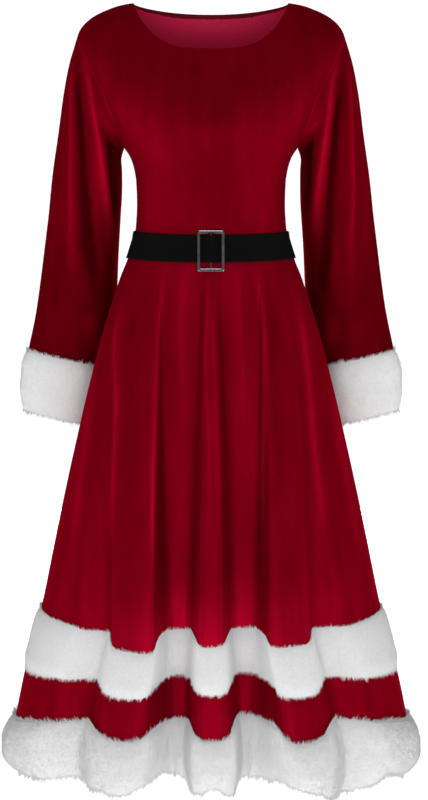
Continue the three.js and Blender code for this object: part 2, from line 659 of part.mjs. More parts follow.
const dress = new THREE.Group();
dress.add(
  bodicePanel("bodice_front", velvet, -1),
  bodicePanel("bodice_back", velvet, 1),
  sleeve("sleeve_left", velvet, -1),
  sleeve("sleeve_right", velvet, 1),
  cuff("cuff_left", pile, -1),
  cuff("cuff_right", pile, 1),
  velvetTier("skirt_tier_front", velvet, FRONT_FOLDS, TIER_LEVELS),
  velvetTier("skirt_tier_back", velvet, BACK_FOLDS, TIER_LEVELS),
  pileTier("fur_band_front", pile, FRONT_FOLDS, TIER_Z, BAND_Z, BAND_PILE, BAND_PROFILE),
  pileTier("fur_band_back", pile, BACK_FOLDS, TIER_Z, BAND_Z, BAND_PILE, BAND_PROFILE),
  velvetTier("velvet_band_front", velvet, FRONT_FOLDS, LOWER_LEVELS),
  velvetTier("velvet_band_back", velvet, BACK_FOLDS, LOWER_LEVELS),
  pileTier("fur_hem_front", pile, FRONT_FOLDS, LOWER_Z, HEM_Z, HEM_PILE, HEM_PROFILE),
  pileTier("fur_hem_back", pile, BACK_FOLDS, LOWER_Z, HEM_Z, HEM_PILE, HEM_PROFILE),
  belt("belt", webbing),
  buckle("belt_buckle", metal),
);

export default dress;
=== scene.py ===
"""A long-sleeved costume dress of crimson velvet with white pile trim, as it hangs on its wearer.

Lengths are millimetres until a mesh is made, in the frame's own axes: +Z up, +X to the right of
somebody who faces the dress, front towards -Y, origin midway between the two shoulder points.

Every cloth piece is a grid of outer points and a grid of inner points, set off towards the hollow.
The grids follow the frame's own sections, on finer steps, with the creases placed one by one.
"""

import itertools
import math

import bpy
import numpy as np
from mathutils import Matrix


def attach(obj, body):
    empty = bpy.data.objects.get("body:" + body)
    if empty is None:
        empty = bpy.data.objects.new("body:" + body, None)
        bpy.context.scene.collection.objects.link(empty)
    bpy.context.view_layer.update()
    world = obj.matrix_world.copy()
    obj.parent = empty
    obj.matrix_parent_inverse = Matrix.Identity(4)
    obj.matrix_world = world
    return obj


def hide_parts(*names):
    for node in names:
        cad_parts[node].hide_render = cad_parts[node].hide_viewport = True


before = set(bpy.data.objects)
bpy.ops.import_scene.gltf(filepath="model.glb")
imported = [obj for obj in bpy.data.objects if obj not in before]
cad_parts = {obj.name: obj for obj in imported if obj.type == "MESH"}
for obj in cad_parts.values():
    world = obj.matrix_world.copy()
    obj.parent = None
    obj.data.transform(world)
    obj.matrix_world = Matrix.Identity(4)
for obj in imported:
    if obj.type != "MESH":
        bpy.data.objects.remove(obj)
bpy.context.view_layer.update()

MM = 0.001  # metres in a millimetre


def table(columns, *rows):
    """A table with named columns, each an array."""
    return {name: np.array(values, float) for name, values in zip(columns.split(), zip(*rows))}


# Cloth and seams
VELVET, BACKING = 2, 2  # how thick the velvet is, and the pile's backing
SEAM = 0.04
SEAM_DIP = 0.25  # how far a sewn edge turns in
SEAM_REACH = 2.5  # and over what width
NECK_TURN = 7  # width of the turned neck edge
FAR = 1e3  # further from an edge than any point

# Painted light and shade on the velvet, with a little random tone: how much lighter (above 0) or
# darker (below 0) its colour is painted, from about -1 to 1
SEAM_LIGHT = 0.8  # how much lighter along an armhole seam
BODICE_PAINTED_SHADE, FLANK_LIGHT = -0.48, 0.5  # painted shade over the whole bodice, and painted light: how much lighter on its lower sides
FLANK_START, FLANK_WIDTH = 5, 80  # from how far off the middle the sides start, and over what width
FLANK_TOP, FLANK_HEIGHT, FLANK_SLOPE = -120, 110, 0.4
SLEEVE_PAINTED_SHADE, SLEEVE_LOW_PAINTED_SHADE, SLEEVE_INNER_PAINTED_SHADE = -0.42, 0.33, 0.35  # painted shade over the whole sleeve, and how much more painted shade low down and on its inner side
INNER_TURN, INNER_REACH = 165, 40  # the sleeve's inner side, in degrees round it
TIER_LIGHT, BAND_LIGHT = 1.0, 0.4  # painted light: how much lighter at the lower edge of a tier
LIGHT_REACH = 110  # how far up from that edge
LIGHT_MIDDLE, LIGHT_FADE = 1.55, 150  # how much of it in the middle, and how far off that is 1 less

# Pile: its length on each piece, how dense it is and how it lies
BAND_PILE, HEM_PILE, CUFF_PILE = 10, 19, 13
BAND_HAIRS, HEM_HAIRS, CUFF_HAIRS = 35000, 50000, 16000
HAIR_WIDTH = 0.95
PILE_SPREAD = 0.45
PILE_FILL = 0.75  # share of the pile's length that is too dense to look into
PILE_GLOW = 3.5  # how far the pile on a fold's sides takes the light as if it faced outwards
EDGE_SHARE = (0.1, 0.12)  # share of the hairs that grow on a strip's upper and lower edge
EDGE_REACH = 0.05  # how far from an edge the pile is ragged, as a share of the strip
TUFT_SIZE, SWIRL_SIZE, SWIRL, STRAY = 6, 11, 0.1, 0.11
HEM_TUCK, SIDE_TUCK = 3, 20  # how far the hem's edge is tucked in, and how much more at the sides

# Levels of the seams at the sides
WAIST_Z = -345
TIER_Z = -902
BAND_Z = -992
LOWER_Z = -1070
HEM_Z = -1160

# Neck and armholes
NECK_HALF = 115
FRONT_NECK_DROP = 71
BACK_NECK_DROP = 11
TIP_X, TIP_Z = 199, -52
ARMPIT_X, ARMPIT_Z = 129, -212
ARMHOLE_BOW = 5

# Belt and buckle
BELT_TOP, BELT_HEIGHT, BELT_THICKNESS, BELT_CLEARANCE, BELT_LIFT = -335, 40, 2, 1.2, 6.6
BUCKLE_WIDTH, BUCKLE_HEIGHT, BUCKLE_BAR, BUCKLE_THICKNESS, BUCKLE_Z = 40, 60, 4.6, 2.6, -362
BUCKLE_GAP = 0.4

SQUARE = 2.2  # how square the level sections are: 2 is an ellipse
FOLD_SIDEWAYS = 0.5
FOLD_CROWN = 0.14  # how much rounder than flat a fold's top and bottom are, by its depth
LOBE_DROP = 5  # how much lower the hem hangs in the middle of a fold than at its edges
VALLEY_DROP = 2
LOBE_SIDE = 0.4  # share of a fold's side over which the hem drops to it

# The body of the dress at each height: half its width, and its front and back from the middle.
TORSO = table(
    "z half front back",
    (0, 115, 54, 60),
    (-20, 175, 66, 74),
    (-52, 199, 80, 89),
    (-80, 193, 92, 98),
    (-105, 183, 103, 103),
    (-130, 172, 114, 106),
    (-156, 160, 122, 107),
    (-185, 144, 126, 105),
    (-212, 129, 123, 101),
    (-226, 120, 119, 98),
    (-243, 114.5, 113, 94),
    (-262, 111.5, 106, 90),
    (-295, 110.5, 95, 85),
    (-325, 112, 88, 83),
    (-349, 115.5, 88, 84),
)
SHOULDER = table(
    "x z", (115, 0), (134, -3), (157, -11), (174, -19.5), (187, -30), (195, -41), (199, -52)
)

# The skirt at each height along its side seam, as the frame has it.
SKIRT = table(
    "z half front back fold rise spread",
    (-345, 114.5, 88, 84, 0, -3.5, 2),
    (-376, 124.5, 93.5, 91, 0, -3.5, 2),
    (-402, 135, 98.5, 99, 2.5, -4, 2),
    (-438, 147, 106, 110, 6, -5, 2),
    (-485, 162, 117, 121, 10, -6, 2),
    (-547, 178.5, 130, 133, 14, -8, 2),
    (-620, 196.5, 142, 145, 19, -10, 2),
    (-696, 214, 152, 157, 24, -12, 2),
    (-788, 234, 163, 170, 31, -14, 2),
    (-902, 257.5, 176, 185, 39, -15, 2),
    (-950, 269, 183, 191, 41, -2, 3),
    (-992, 281.5, 189, 197, 43, 12, 4),
    (-1036, 291.5, 196, 202, 44, 20, 5),
    (-1070, 298, 201, 208, 45, 27, 6),
    (-1114, 305, 207, 214, 47, 34, 7),
    (-1160, 307, 212, 220, 48, 41, 7),
)

# The edges of the skirt's folds in degrees round from the centre front, as the frame has them.
FOLD_COLUMNS = "top tier hem out drop hem_drop"
FRONT_FOLDS = table(
    FOLD_COLUMNS,
    (-90, -90, -90, 0, 0, 0),
    (-87, -50, -55, 0.15, 0, 0),
    (-82, -34.5, -38, -0.55, 5, 0),
    (-78, -29, -26, 0.9, 13, 0),
    (-42, -15.8, -17, 1, 14, 0),
    (-37, -12.8, -9, -0.9, -3, 0),
    (-5, -5.6, -5.2, -1, -4, 0),
    (-1.5, -2.7, -2.7, 1, 1, 0),
    (1, 2.9, 3.9, 1, 0, 0),
    (5, 5.6, 6.5, -1, -5, -8),
    (35, 13.6, 9.6, -0.9, -5, -8),
    (40, 16.4, 20, 1, 5, 10),
    (62, 29, 27, 0.9, 6, 10),
    (67, 34.5, 38.5, -0.55, 0, 0),
    (80, 50, 55, 0.15, 0, 0),
    (90, 90, 90, 0, 0, 0),
)
BACK_FOLDS = table(
    FOLD_COLUMNS,
    (90, 90, 90, 0, 0, 0),
    (103, 104, 104, -0.8, 0, 0),
    (129, 130, 130, -0.85, 0, 0),
    (138, 138, 137, 0.8, 4, 3),
    (148, 148, 149, 0.9, 4, 3),
    (153, 153, 154, -0.9, -3, -4),
    (159, 160, 160, -0.9, -3, -4),
    (164, 165, 165, 0.9, 3, 0),
    (173, 174, 175, 0.95, 3, 0),
    (178, 179, 180, -0.85, -4, -3),
    (186, 186, 185.5, -0.85, -4, -3),
    (191, 191, 190.5, 0.9, 5, 4),
    (202, 201, 200, 0.95, 5, 4),
    (207, 206, 205, -0.9, -2, -3),
    (213, 212, 212, -0.9, -2, -3),
    (219, 217, 217, 0.9, 4, 2),
    (227, 226, 226, 0.8, 4, 2),
    (235, 233, 232, -0.85, 0, 0),
    (257, 256, 256, -0.8, 0, 0),
    (270, 270, 270, 0, 0, 0),
)

# The sleeve's rings: outer and inner edge, half the depth, and the depth of its three long folds.
SLEEVE = table(
    "out_x out_y out_z in_x in_y in_z depth fold",
    (209, 3, -84, 133, 3, -226, 52, 1.5),
    (217.5, 6, -130, 132.5, 9, -247, 54, 3),
    (225, 11, -187, 132.5, 18, -279, 53, 4),
    (234, 19, -250, 134.5, 32, -318, 51, 4.5),
    (243, 31, -328, 138, 51, -372, 48, 4.5),
    (253, 44, -402, 142, 73, -431, 45, 4.5),
    (264, 57, -465, 150, 94, -490, 42, 4),
    (277, 68, -521, 161, 114, -547, 40, 3),
)
CUFF_END = {
    "out_x": 283, "out_y": 78, "out_z": -614, "in_x": 170, "in_y": 132, "in_z": -640, "depth": 41,
}
SLEEVE_FOLDS = 3
SLEEVE_FOLD_TURN = 0.9

BELT_FRONT = table("x over", (0, 1), (3, 1), (6, 0.8), (9, 0.46), (12, 0.14), (15, 0), (21, 0))
BAND_PROFILE = table("at pile", (0, 0.1), (0.13, 0.75), (0.42, 1), (0.76, 0.9), (1, 0.15))
HEM_PROFILE = table(
    "at pile", (0, 0.1), (0.1, 0.62), (0.34, 1), (0.64, 1), (0.88, 0.65), (1, 0.3)
)

# Creases: each runs from (x0, z0) to (x1, z1) as seen from its own side of the dress, bowed
# sideways, as wide as its reach. A trough has a lift below 0, and a ridge one above 0.
BODICE_FRONT_CREASES = [
    (-127, -190, -84, -150, 3, 6.0, -0.6),
    (-128, -209, -66, -176, 4, 7.5, -1.0),
    (-121, -226, -72, -209, 3, 6.5, -0.7),
    (-113, -250, -78, -246, 2, 6.0, -0.4),
    (-112, -292, -52, -318, 5, 8.0, -0.5),
    (-66, -330, 20, -326, -3, 6.0, -0.4),
    (-172, -80, -140, -168, -4, 9.0, -0.8),
    (-104, -12, -150, -92, 6, 13.0, -0.5),
    (128, -193, 90, -158, -3, 6.5, -0.6),
    (127, -211, 60, -181, -5, 7.0, -0.9),
    (121, -229, 80, -214, -2, 6.0, -0.6),
    (112, -258, 74, -262, -2, 7.0, -0.4),
    (112, -299, 60, -321, -4, 7.0, -0.5),
    (172, -84, 141, -171, 4, 9.0, -0.8),
    (103, -13, 148, -96, -6, 13.0, -0.4),
]
BODICE_BACK_CREASES = [
    (-128, -206, -58, -170, 5, 7.5, -2.4),
    (-122, -227, -64, -204, 3, 7.0, -1.8),
    (-174, -84, -136, -170, -5, 9.0, -2.2),
    (-106, -286, -20, -300, 6, 8.0, -2.2),
    (-88, -314, 26, -322, 4, 7.0, -1.8),
    (-96, -262, -40, -276, 4, 7.5, -1.5),
    (129, -208, 64, -174, -4, 7.5, -2.2),
    (121, -230, 70, -208, -3, 6.5, -1.6),
    (173, -88, 138, -172, 5, 9.0, -2.1),
    (104, -280, 34, -296, -5, 8.0, -2.0),
    (98, -306, 12, -312, -4, 7.0, -1.6),
    (-40, -40, 44, -42, 7, 14.0, -1.3),
]

# The long folds that show as lighter or darker lines, each as its reach, its lift, how much lighter
# it is painted along it (a painted highlight, or painted shade below 0), and its points. On a
# sleeve a point is (turn, ring): degrees round from the outer edge over the front, and rings down
# from the armhole. On the skirt it is (x, z).
SLEEVE_LINES_LEFT = [
    (13, 3.2, 1.25, (24, 0.1), (62, 0.25), (93, 1.1), (103, 1.9), (115, 3.2), (125, 4.3),
     (147, 5.5)),
    (8, 2.2, 0.94, (26, 0.4), (41, 2.0), (48, 3.1), (55, 4.2), (61, 5.1), (64, 6.4)),
    (13, -3.6, -0.94, (40, 0.5), (66, 2.1), (79, 3.8), (87, 4.9), (100, 5.8), (113, 6.9)),
    (12, -3.0, -0.77, (131, 0.9), (133, 3.0), (152, 4.6)),
    (5, 1.6, 0.62, (112, 0.9), (124, 0.35), (140, 0.2)),
    (7, -2.2, -0.55, (168, 0.9), (140, 1.0), (120, 1.4)),
    (15, 2.4, 0.31, (96, 6.6), (118, 7.5), (150, 7.9)),
    (9, 2.0, 0.62, (200, 0.8), (236, 2.0), (252, 4.2), (262, 6.6)),
    (12, -3.2, -0.66, (222, 0.9), (262, 2.6), (280, 5.0), (288, 7.2)),
    (9, 2.2, 0.62, (306, 1.0), (300, 3.4), (306, 6.8)),
]
SLEEVE_LINES_RIGHT = [
    (13, 3.2, 1.25, (28, 0.1), (66, 0.25), (86, 0.9), (96, 1.6), (104, 2.5), (116, 3.6),
     (130, 5.4)),
    (8, 2.2, 0.94, (31, 0.4), (38, 1.8), (45, 2.9), (51, 4.2), (61, 5.1), (64, 6.5)),
    (13, -3.6, -0.94, (48, 0.5), (73, 1.6), (81, 2.4), (90, 3.6), (100, 5.0), (110, 6.0),
     (131, 7.0)),
    (12, -3.0, -0.77, (138, 0.6), (136, 3.0), (160, 4.4)),
    (5, 1.6, 0.62, (110, 1.0), (124, 0.35), (142, 0.2)),
    (7, -2.2, -0.55, (170, 0.8), (142, 1.1), (122, 1.5)),
    (15, 2.4, 0.31, (92, 6.7), (116, 7.4), (148, 7.9)),
    (9, 2.0, 0.62, (198, 0.7), (238, 2.2), (250, 4.4), (260, 6.9)),
    (12, -3.2, -0.66, (220, 1.0), (260, 2.8), (282, 5.2), (290, 7.0)),
    (9, 2.2, 0.62, (304, 1.2), (301, 3.6), (308, 6.6)),
]
SKIRT_FRONT_LINES = [
    (3.2, 1.4, 1.15, (-68, -372), (-69, -398), (-77, -464), (-79, -578), (-83, -698), (-82, -880)),
    (9, -0.88, -0.27, (-62, -380), (-66, -560), (-68, -720), (-66, -880)),
    (4.6, 1.4, 0.85, (-126, -420), (-144, -490), (-137, -580), (-141, -676), (-151, -830)),
    (14, -0.99, -0.23, (-110, -410), (-116, -560), (-118, -700), (-124, -860)),
    (3.0, 1.0, 0.5, (-6, -376), (-5, -400), (-4, -442), (-8, -525), (-3, -621), (-1, -760)),
    (3.0, 0.8, 0.38, (0, -410), (5, -538), (11, -671), (15, -820)),
    (8, -0.77, -0.23, (14, -420), (22, -560), (30, -700), (34, -860)),
    (3.2, 1.4, 1.1, (64, -370), (66, -395), (77, -445), (78, -576), (74, -728), (78, -870)),
    (10, -0.99, -0.3, (82, -390), (92, -480), (94, -600), (92, -740), (98, -870)),
    (4.4, 1.2, 0.8, (126, -420), (142, -532), (151, -633), (168, -790)),
    (3.8, 0.75, 0.35, (-43, -372), (-44, -477), (-41, -620)),
    (3.8, 0.75, 0.35, (37, -372), (43, -476), (51, -640)),
    (4.6, 1.1, 0.65, (-170, -540), (-194, -698), (-209, -840)),
    (4.6, 1.1, 0.65, (176, -560), (206, -729), (228, -850)),
    (14, -0.88, -0.23, (-160, -560), (-172, -700), (-182, -850)),
    (14, -0.88, -0.23, (166, -580), (184, -720), (198, -860)),
]
SKIRT_BACK_LINES = [
    (3.8, 1.4, 0.75, (-14, -372), (-20, -470), (-18, -640), (-24, -860)),
    (9, -0.94, -0.27, (-26, -380), (-36, -560), (-40, -840)),
    (3.8, 1.3, 0.69, (-58, -374), (-72, -500), (-84, -680), (-90, -870)),
    (5.6, 1.2, 0.58, (-104, -400), (-132, -560), (-150, -720), (-166, -860)),
    (13, -0.99, -0.27, (-84, -390), (-108, -560), (-122, -840)),
    (3.8, 1.3, 0.75, (20, -372), (30, -480), (36, -660), (34, -850)),
    (3.8, 1.3, 0.63, (66, -374), (80, -520), (92, -700), (102, -870)),
    (13, -0.99, -0.27, (48, -384), (60, -560), (66, -840)),
    (6.4, 1.2, 0.52, (110, -410), (140, -580), (160, -740), (180, -860)),
    (6.4, 1.1, 0.4, (-176, -560), (-200, -720), (-214, -850)),
    (6.4, 1.1, 0.4, (178, -570), (202, -730), (220, -840)),
]


def mix(a, b, t):
    return a + (b - a) * t


def smooth(t):
    """Rises from 0 to 1 as t does, and levels off at both."""
    t = np.clip(t, 0, 1)
    return t * t * (3 - 2 * t)


def hermite(start, end, leaving, arriving, t):
    """A curve from start to end, with its slopes at both."""
    return (start * (1 + 2 * t) * (1 - t) ** 2 + leaving * t * (1 - t) ** 2
            + end * t * t * (3 - 2 * t) + arriving * t * t * (t - 1))


def unit(vectors):
    return vectors / np.maximum(np.linalg.norm(vectors, axis=-1, keepdims=True), 1e-9)


def steps_along(points):
    """The lengths of the steps along a line of points."""
    return np.linalg.norm(np.diff(points, axis=0), axis=1)


def squared(value):
    return np.sign(value) * np.abs(value) ** (2 / SQUARE)


def value_at(rows, key, column, place):
    """A table's column at places along its key, on a curve that never overshoots its rows."""
    keys, values = rows[key], rows[column]
    if keys[0] > keys[-1]:
        keys, values = keys[::-1], values[::-1]
    x = np.clip(place, keys[0], keys[-1])
    i = np.clip(np.searchsorted(keys, x) - 1, 0, len(keys) - 2)
    width = np.diff(keys)
    slope = np.diff(values) / width
    product = slope[:-1] * slope[1:]
    both = np.where(product > 0, slope[:-1] + slope[1:], 1)
    middle = np.where(product > 0, 2 * product / both, 0)
    tangent = np.concatenate([slope[:1], middle, slope[-1:]])
    t = (x - keys[i]) / width[i]
    return hermite(values[i], values[i + 1], tangent[i] * width[i], tangent[i + 1] * width[i], t)


def noise(points, size, seed):
    """Smooth noise from -1 to 1 at points, in lumps of one size."""
    cell = points / size
    base = np.floor(cell).astype(np.int64)
    part = smooth(cell - base)
    total = np.zeros(points.shape[:-1])
    for corner in itertools.product((0, 1), repeat=3):
        x, y, z = np.moveaxis(base + corner, -1, 0)
        mark = (x * 73856093 ^ y * 19349663 ^ z * 83492791 ^ seed * 2654435761) & 0xFFFFFFFF
        mark = ((mark ^ (mark >> 13)) * 1274126177) & 0xFFFFFFFF
        value = ((mark ^ (mark >> 16)) & 0xFFFF) / 32767.5 - 1
        total += value * np.prod(np.where(corner, part, 1 - part), axis=-1)
    return total


def creases(u, v, lines):
    """The height of soft folds at places on a sheet, each with a lower swell on both its sides."""
    height = np.zeros_like(u)
    for u0, v0, u1, v1, bow, reach, lift in lines:
        length = math.hypot(u1 - u0, v1 - v0)
        du, dv = (u1 - u0) / length, (v1 - v0) / length
        t = ((u - u0) * du + (v - v0) * dv) / length
        inside = np.clip(t, 0, 1)
        off = (v - v0) * du - (u - u0) * dv - bow * 4 * inside * (1 - inside)
        fade = smooth(t / 0.22) * smooth((1 - t) / 0.35)
        near = (off / reach) ** 2
        height += lift * fade * (1.3 * np.exp(-near) - 0.3 * np.exp(-near / 5))
    return height


def drape(u, v, lines):
    """The height of long folds at places on a sheet, and how much lighter the velvet is painted
    there: painted highlights, and painted shade where a line's lightness is below 0.
    """
    height, painted_light_and_tone = np.zeros_like(u), np.zeros_like(u)
    for reach, lift, light, *points in lines:
        points = np.array(points, float)
        for _ in range(2):
            cut = np.stack([mix(points[:-1], points[1:], share) for share in (0.25, 0.75)], axis=1)
            points = np.vstack([points[:1], cut.reshape(-1, 2), points[-1:]])
        lengths = steps_along(points)
        near, along, start = np.full_like(u, np.inf), np.zeros_like(u), 0
        for (u0, v0), (u1, v1), length in zip(points, points[1:], lengths):
            t = np.clip(((u - u0) * (u1 - u0) + (v - v0) * (v1 - v0)) / length**2, 0, 1)
            off = np.hypot(u - mix(u0, u1, t), v - mix(v0, v1, t))
            along = np.where(off < near, start + t * length, along)
            near = np.minimum(near, off)
            start += length
        share = along / start
        fade = smooth(share / 0.18) * smooth((1 - share) / 0.35)
        bell = np.exp(-((near / reach) ** 2))
        height += lift * fade * (1.3 * bell - 0.3 * bell**0.2)
        painted_light_and_tone += light * fade * bell**0.8
    return height, painted_light_and_tone


def normals_of(grid, tube=False):
    """Unit normals of a grid of points, all to the side that mostly faces away from the middle."""
    along = np.gradient(grid, axis=0)
    if tube:
        across = np.roll(grid, -1, axis=1) - np.roll(grid, 1, axis=1)
        away = grid - grid.mean(axis=1, keepdims=True)
    else:
        across = np.gradient(grid, axis=1)
        away = grid * (1, 1, 0)
    normal = unit(np.cross(along, across))
    return normal if np.sum(away * normal) > 0 else -normal


def edge_distance(grid):
    """Lengths along the cloth from each point to the first and last row and column."""
    down = np.linalg.norm(np.diff(grid, axis=0), axis=2)
    over = np.linalg.norm(np.diff(grid, axis=1), axis=2)
    first_row = np.vstack([np.zeros((1, grid.shape[1])), np.cumsum(down, axis=0)])
    first_column = np.hstack([np.zeros((grid.shape[0], 1)), np.cumsum(over, axis=1)])
    return first_row, first_row[-1] - first_row, first_column, first_column[:, -1:] - first_column


def velvet_walls(cloth, inwards, sewn, height):
    """The outer and inner points of velvet, raised by a height and turned in at sewn edges."""
    dip = SEAM_DIP * np.clip(1 - sewn / SEAM_REACH, 0, 1) ** 2
    outer = cloth + inwards * (dip - height)[..., None]
    return outer, outer + inwards * VELVET


# Materials

materials = {}  # by the names given here, because Blender renames those that the frame has


class Look:
    """A principled material. Constants are set on the shader itself, and sources linked to it."""

    def __init__(self, name, **constants):
        self.material = materials[name] = bpy.data.materials.new(name)
        self.material.use_nodes = True
        self.nodes, self.links = self.material.node_tree.nodes, self.material.node_tree.links
        self.shader = self.nodes["Principled BSDF"]
        for socket, value in constants.items():
            self.shader.inputs[socket.replace("_", " ")].default_value = value

    def node(self, kind, **inputs):
        """A new node with named inputs, each a number, a colour or another node's output."""
        made = self.nodes.new(f"ShaderNode{kind}")
        for name, value in inputs.items():
            self.feed(made.inputs[name], value)
        return made

    def feed(self, socket, value):
        if isinstance(value, bpy.types.NodeSocket):
            self.links.new(value, socket)
        else:
            socket.default_value = value

    def grain(self, size, scale=(1, 1, 1), detail=2.0, rough=0.5):
        """A noise whose lumps have a size in millimetres, stretched along an axis by its scale."""
        place = self.node("TexCoord").outputs["Object"]
        mapped = self.node("Mapping", Scale=scale, Vector=place).outputs["Vector"]
        noise_node = self.node("TexNoise", Scale=1 / (size * MM), Detail=detail, Roughness=rough,
                               Vector=mapped)
        return noise_node.outputs["Fac"]

    def carried(self, name):
        """A value that the points carry."""
        value = self.node("Attribute")
        value.attribute_name = name
        return value.outputs["Fac"]

    def sum_of(self, source, share, added):
        """A source times a share, plus what is added."""
        total = self.node("Math")
        total.operation = "MULTIPLY_ADD"
        for socket, value in zip(total.inputs, (source, share, added)):
            self.feed(socket, value)
        return total.outputs[0]

    def ramp(self, source, *stops, target="Base Color"):
        """Colours an input of the shader by a source, with stops of (place, colour)."""
        made = self.node("ValToRGB", Fac=source)
        elements = made.color_ramp.elements
        while len(elements) < len(stops):
            elements.new(0.5)
        for element, (place, colour) in zip(elements, stops):
            element.position = place
            element.color = (*colour, 1)
        self.links.new(made.outputs["Color"], self.shader.inputs[target])

    def bump(self, *layers):
        """Raises the surface by layers of (source, depth in millimetres, strength)."""
        raised = None
        for source, depth, strength in layers:
            made = self.node("Bump", Distance=depth * MM, Strength=strength, Height=source)
            if raised is not None:
                self.links.new(raised, made.inputs["Normal"])
            raised = made.outputs["Normal"]
        self.links.new(raised, self.shader.inputs["Normal"])


def grey(value, blue=0):
    return (value, value, value + blue)


def velvet_material():
    look = Look("velvet", Metallic=0.26, Roughness=0.48, Specular_IOR_Level=0.0,
                Specular_Tint=(1.0, 0.0, 0.05, 1), Sheen_Weight=0.1, Sheen_Roughness=0.4,
                Sheen_Tint=(0.8, 0.0, 0.04, 1))
    faint = look.sum_of(look.grain(22, (1, 1, 0.16), 3.0), 0.3, 0.35)
    # The base colour is painted lighter and darker by the painted light and shade that the points
    # carry, over a faint random tone.
    look.ramp(look.sum_of(look.carried("painted_light_and_tone"), 0.4, faint),
              (0.0, (0.040, 0.0, 0.0012)), (0.25, (0.11, 0.0, 0.0036)),
              (0.5, (0.178, 0.0002, 0.0066)), (0.75, (0.262, 0.0006, 0.0115)),
              (1.0, (0.40, 0.0012, 0.021)))
    look.bump((look.grain(9, (1, 1, 0.45), 3.0), 0.4, 0.3),
              (look.grain(0.9, detail=1.0), 0.15, 0.5))


def wrong_side_material():
    """The knitted wrong side. The turned neck edge shows the face side there."""
    look = Look("velvet_wrong_side", Roughness=0.8, Specular_IOR_Level=0.2)
    knit = look.grain(1.6, (1, 1, 0.5), 1.0)
    look.ramp(look.sum_of(look.carried("turned"), 0.6, knit),
              (0.35, (0.66, 0.014, 0.085)), (0.65, (0.76, 0.020, 0.11)),
              (0.8, (0.76, 0.020, 0.11)), (0.86, (0.16, 0.0, 0.006)))
    look.bump((knit, 0.2, 0.5))


def pile_material():
    look = Look("pile", Roughness=0.9, Specular_IOR_Level=0.1, Sheen_Weight=0.2,
                Sheen_Roughness=0.5)
    # Darker and a little bluer towards the hairs' roots: painted shade between the hairs.
    look.ramp(look.carried("tip"),
              (0.0, grey(0.71, 0.01)), (0.45, grey(0.75, 0.005)), (1.0, grey(0.78)))


def pile_ground_material():
    look = Look("pile_ground", Roughness=0.95, Specular_IOR_Level=0.1)
    curls = look.grain(4.5, detail=4.0, rough=0.7)
    look.ramp(curls, (0.3, grey(0.70, 0.01)), (0.65, grey(0.765)))
    look.bump((curls, 2.0, 0.6))


def backing_material():
    look = Look("pile_backing", Roughness=0.9, Specular_IOR_Level=0.1)
    knit = look.grain(1.4, (1, 1, 0.4), 1.0)
    look.ramp(knit, (0.35, (0.66, 0.65, 0.62)), (0.65, (0.78, 0.77, 0.74)))
    look.bump((knit, 0.25, 0.6))


def webbing_material():
    """Woven elastic: fine ribs along the strap, crossed by the weft."""
    look = Look("webbing", Roughness=0.85, Specular_IOR_Level=0.05)
    place = look.node("UVMap")
    place.uv_map = "cloth"
    heights = []
    for direction, size in (("Y", 1.25), ("X", 0.9)):
        wave = look.node("TexWave", Scale=0.314 / (size * MM), Distortion=0.6,
                         Vector=place.outputs["UV"])
        wave.bands_direction = direction
        heights.append(wave.outputs["Fac"])
    look.bump((heights[0], 0.35, 0.7), (heights[1], 0.2, 0.5))
    look.ramp(heights[0], (0.2, grey(0.0015, 0.0003)), (0.8, grey(0.0045, 0.0005)))


def metal_material():
    look = Look("buckle_metal", Metallic=1.0)
    wear = look.grain(14, detail=4.0, rough=0.7)
    look.ramp(wear, (0.3, grey(0.11, 0.003)), (0.7, grey(0.17, 0.004)))
    look.ramp(wear, (0.3, grey(0.13)), (0.75, grey(0.24)), target="Roughness")
    look.bump((look.grain(0.5, detail=1.0), 0.02, 0.25))


for make in (velvet_material, wrong_side_material, pile_material, pile_ground_material,
             backing_material, webbing_material, metal_material):
    make()
VELVET_LOOKS = [materials["velvet"], materials["velvet_wrong_side"]]
PILE_LOOKS = [materials["pile_ground"], materials["pile_backing"]]


# Meshes

def new_piece(name, points, faces, looks, face_look=None, uv=None, sharp=50):
    """A piece from points in millimetres and faces that all have the same number of corners."""
    mesh = bpy.data.meshes.new(name)
    corners = faces.shape[1]
    mesh.vertices.add(len(points))
    mesh.vertices.foreach_set("co", (points * MM).astype(np.float32).ravel())
    mesh.loops.add(faces.size)
    mesh.loops.foreach_set("vertex_index", faces.astype(np.int32).ravel())
    mesh.polygons.add(len(faces))
    mesh.polygons.foreach_set("loop_start", np.arange(0, faces.size, corners, dtype=np.int32))
    for look in looks:
        mesh.materials.append(look)
    if face_look is not None:
        mesh.polygons.foreach_set("material_index", face_look.astype(np.int32))
    if uv is not None:
        layer = mesh.uv_layers.new(name="cloth")
        layer.data.foreach_set("uv", (uv * MM).astype(np.float32).ravel())
    mesh.update(calc_edges=True)
    mesh.validate()
    mesh.shade_smooth()
    if sharp:
        mesh.set_sharp_from_angle(angle=math.radians(sharp))
    piece = bpy.data.objects.new(name, mesh)
    bpy.context.scene.collection.objects.link(piece)
    return piece


def mark(piece, name, outer, inner):
    """Gives each point of a wall a value."""
    values = np.concatenate([outer.ravel(), inner.ravel()]).astype(np.float32)
    piece.data.attributes.new(name, "FLOAT", "POINT").data.foreach_set("value", values)


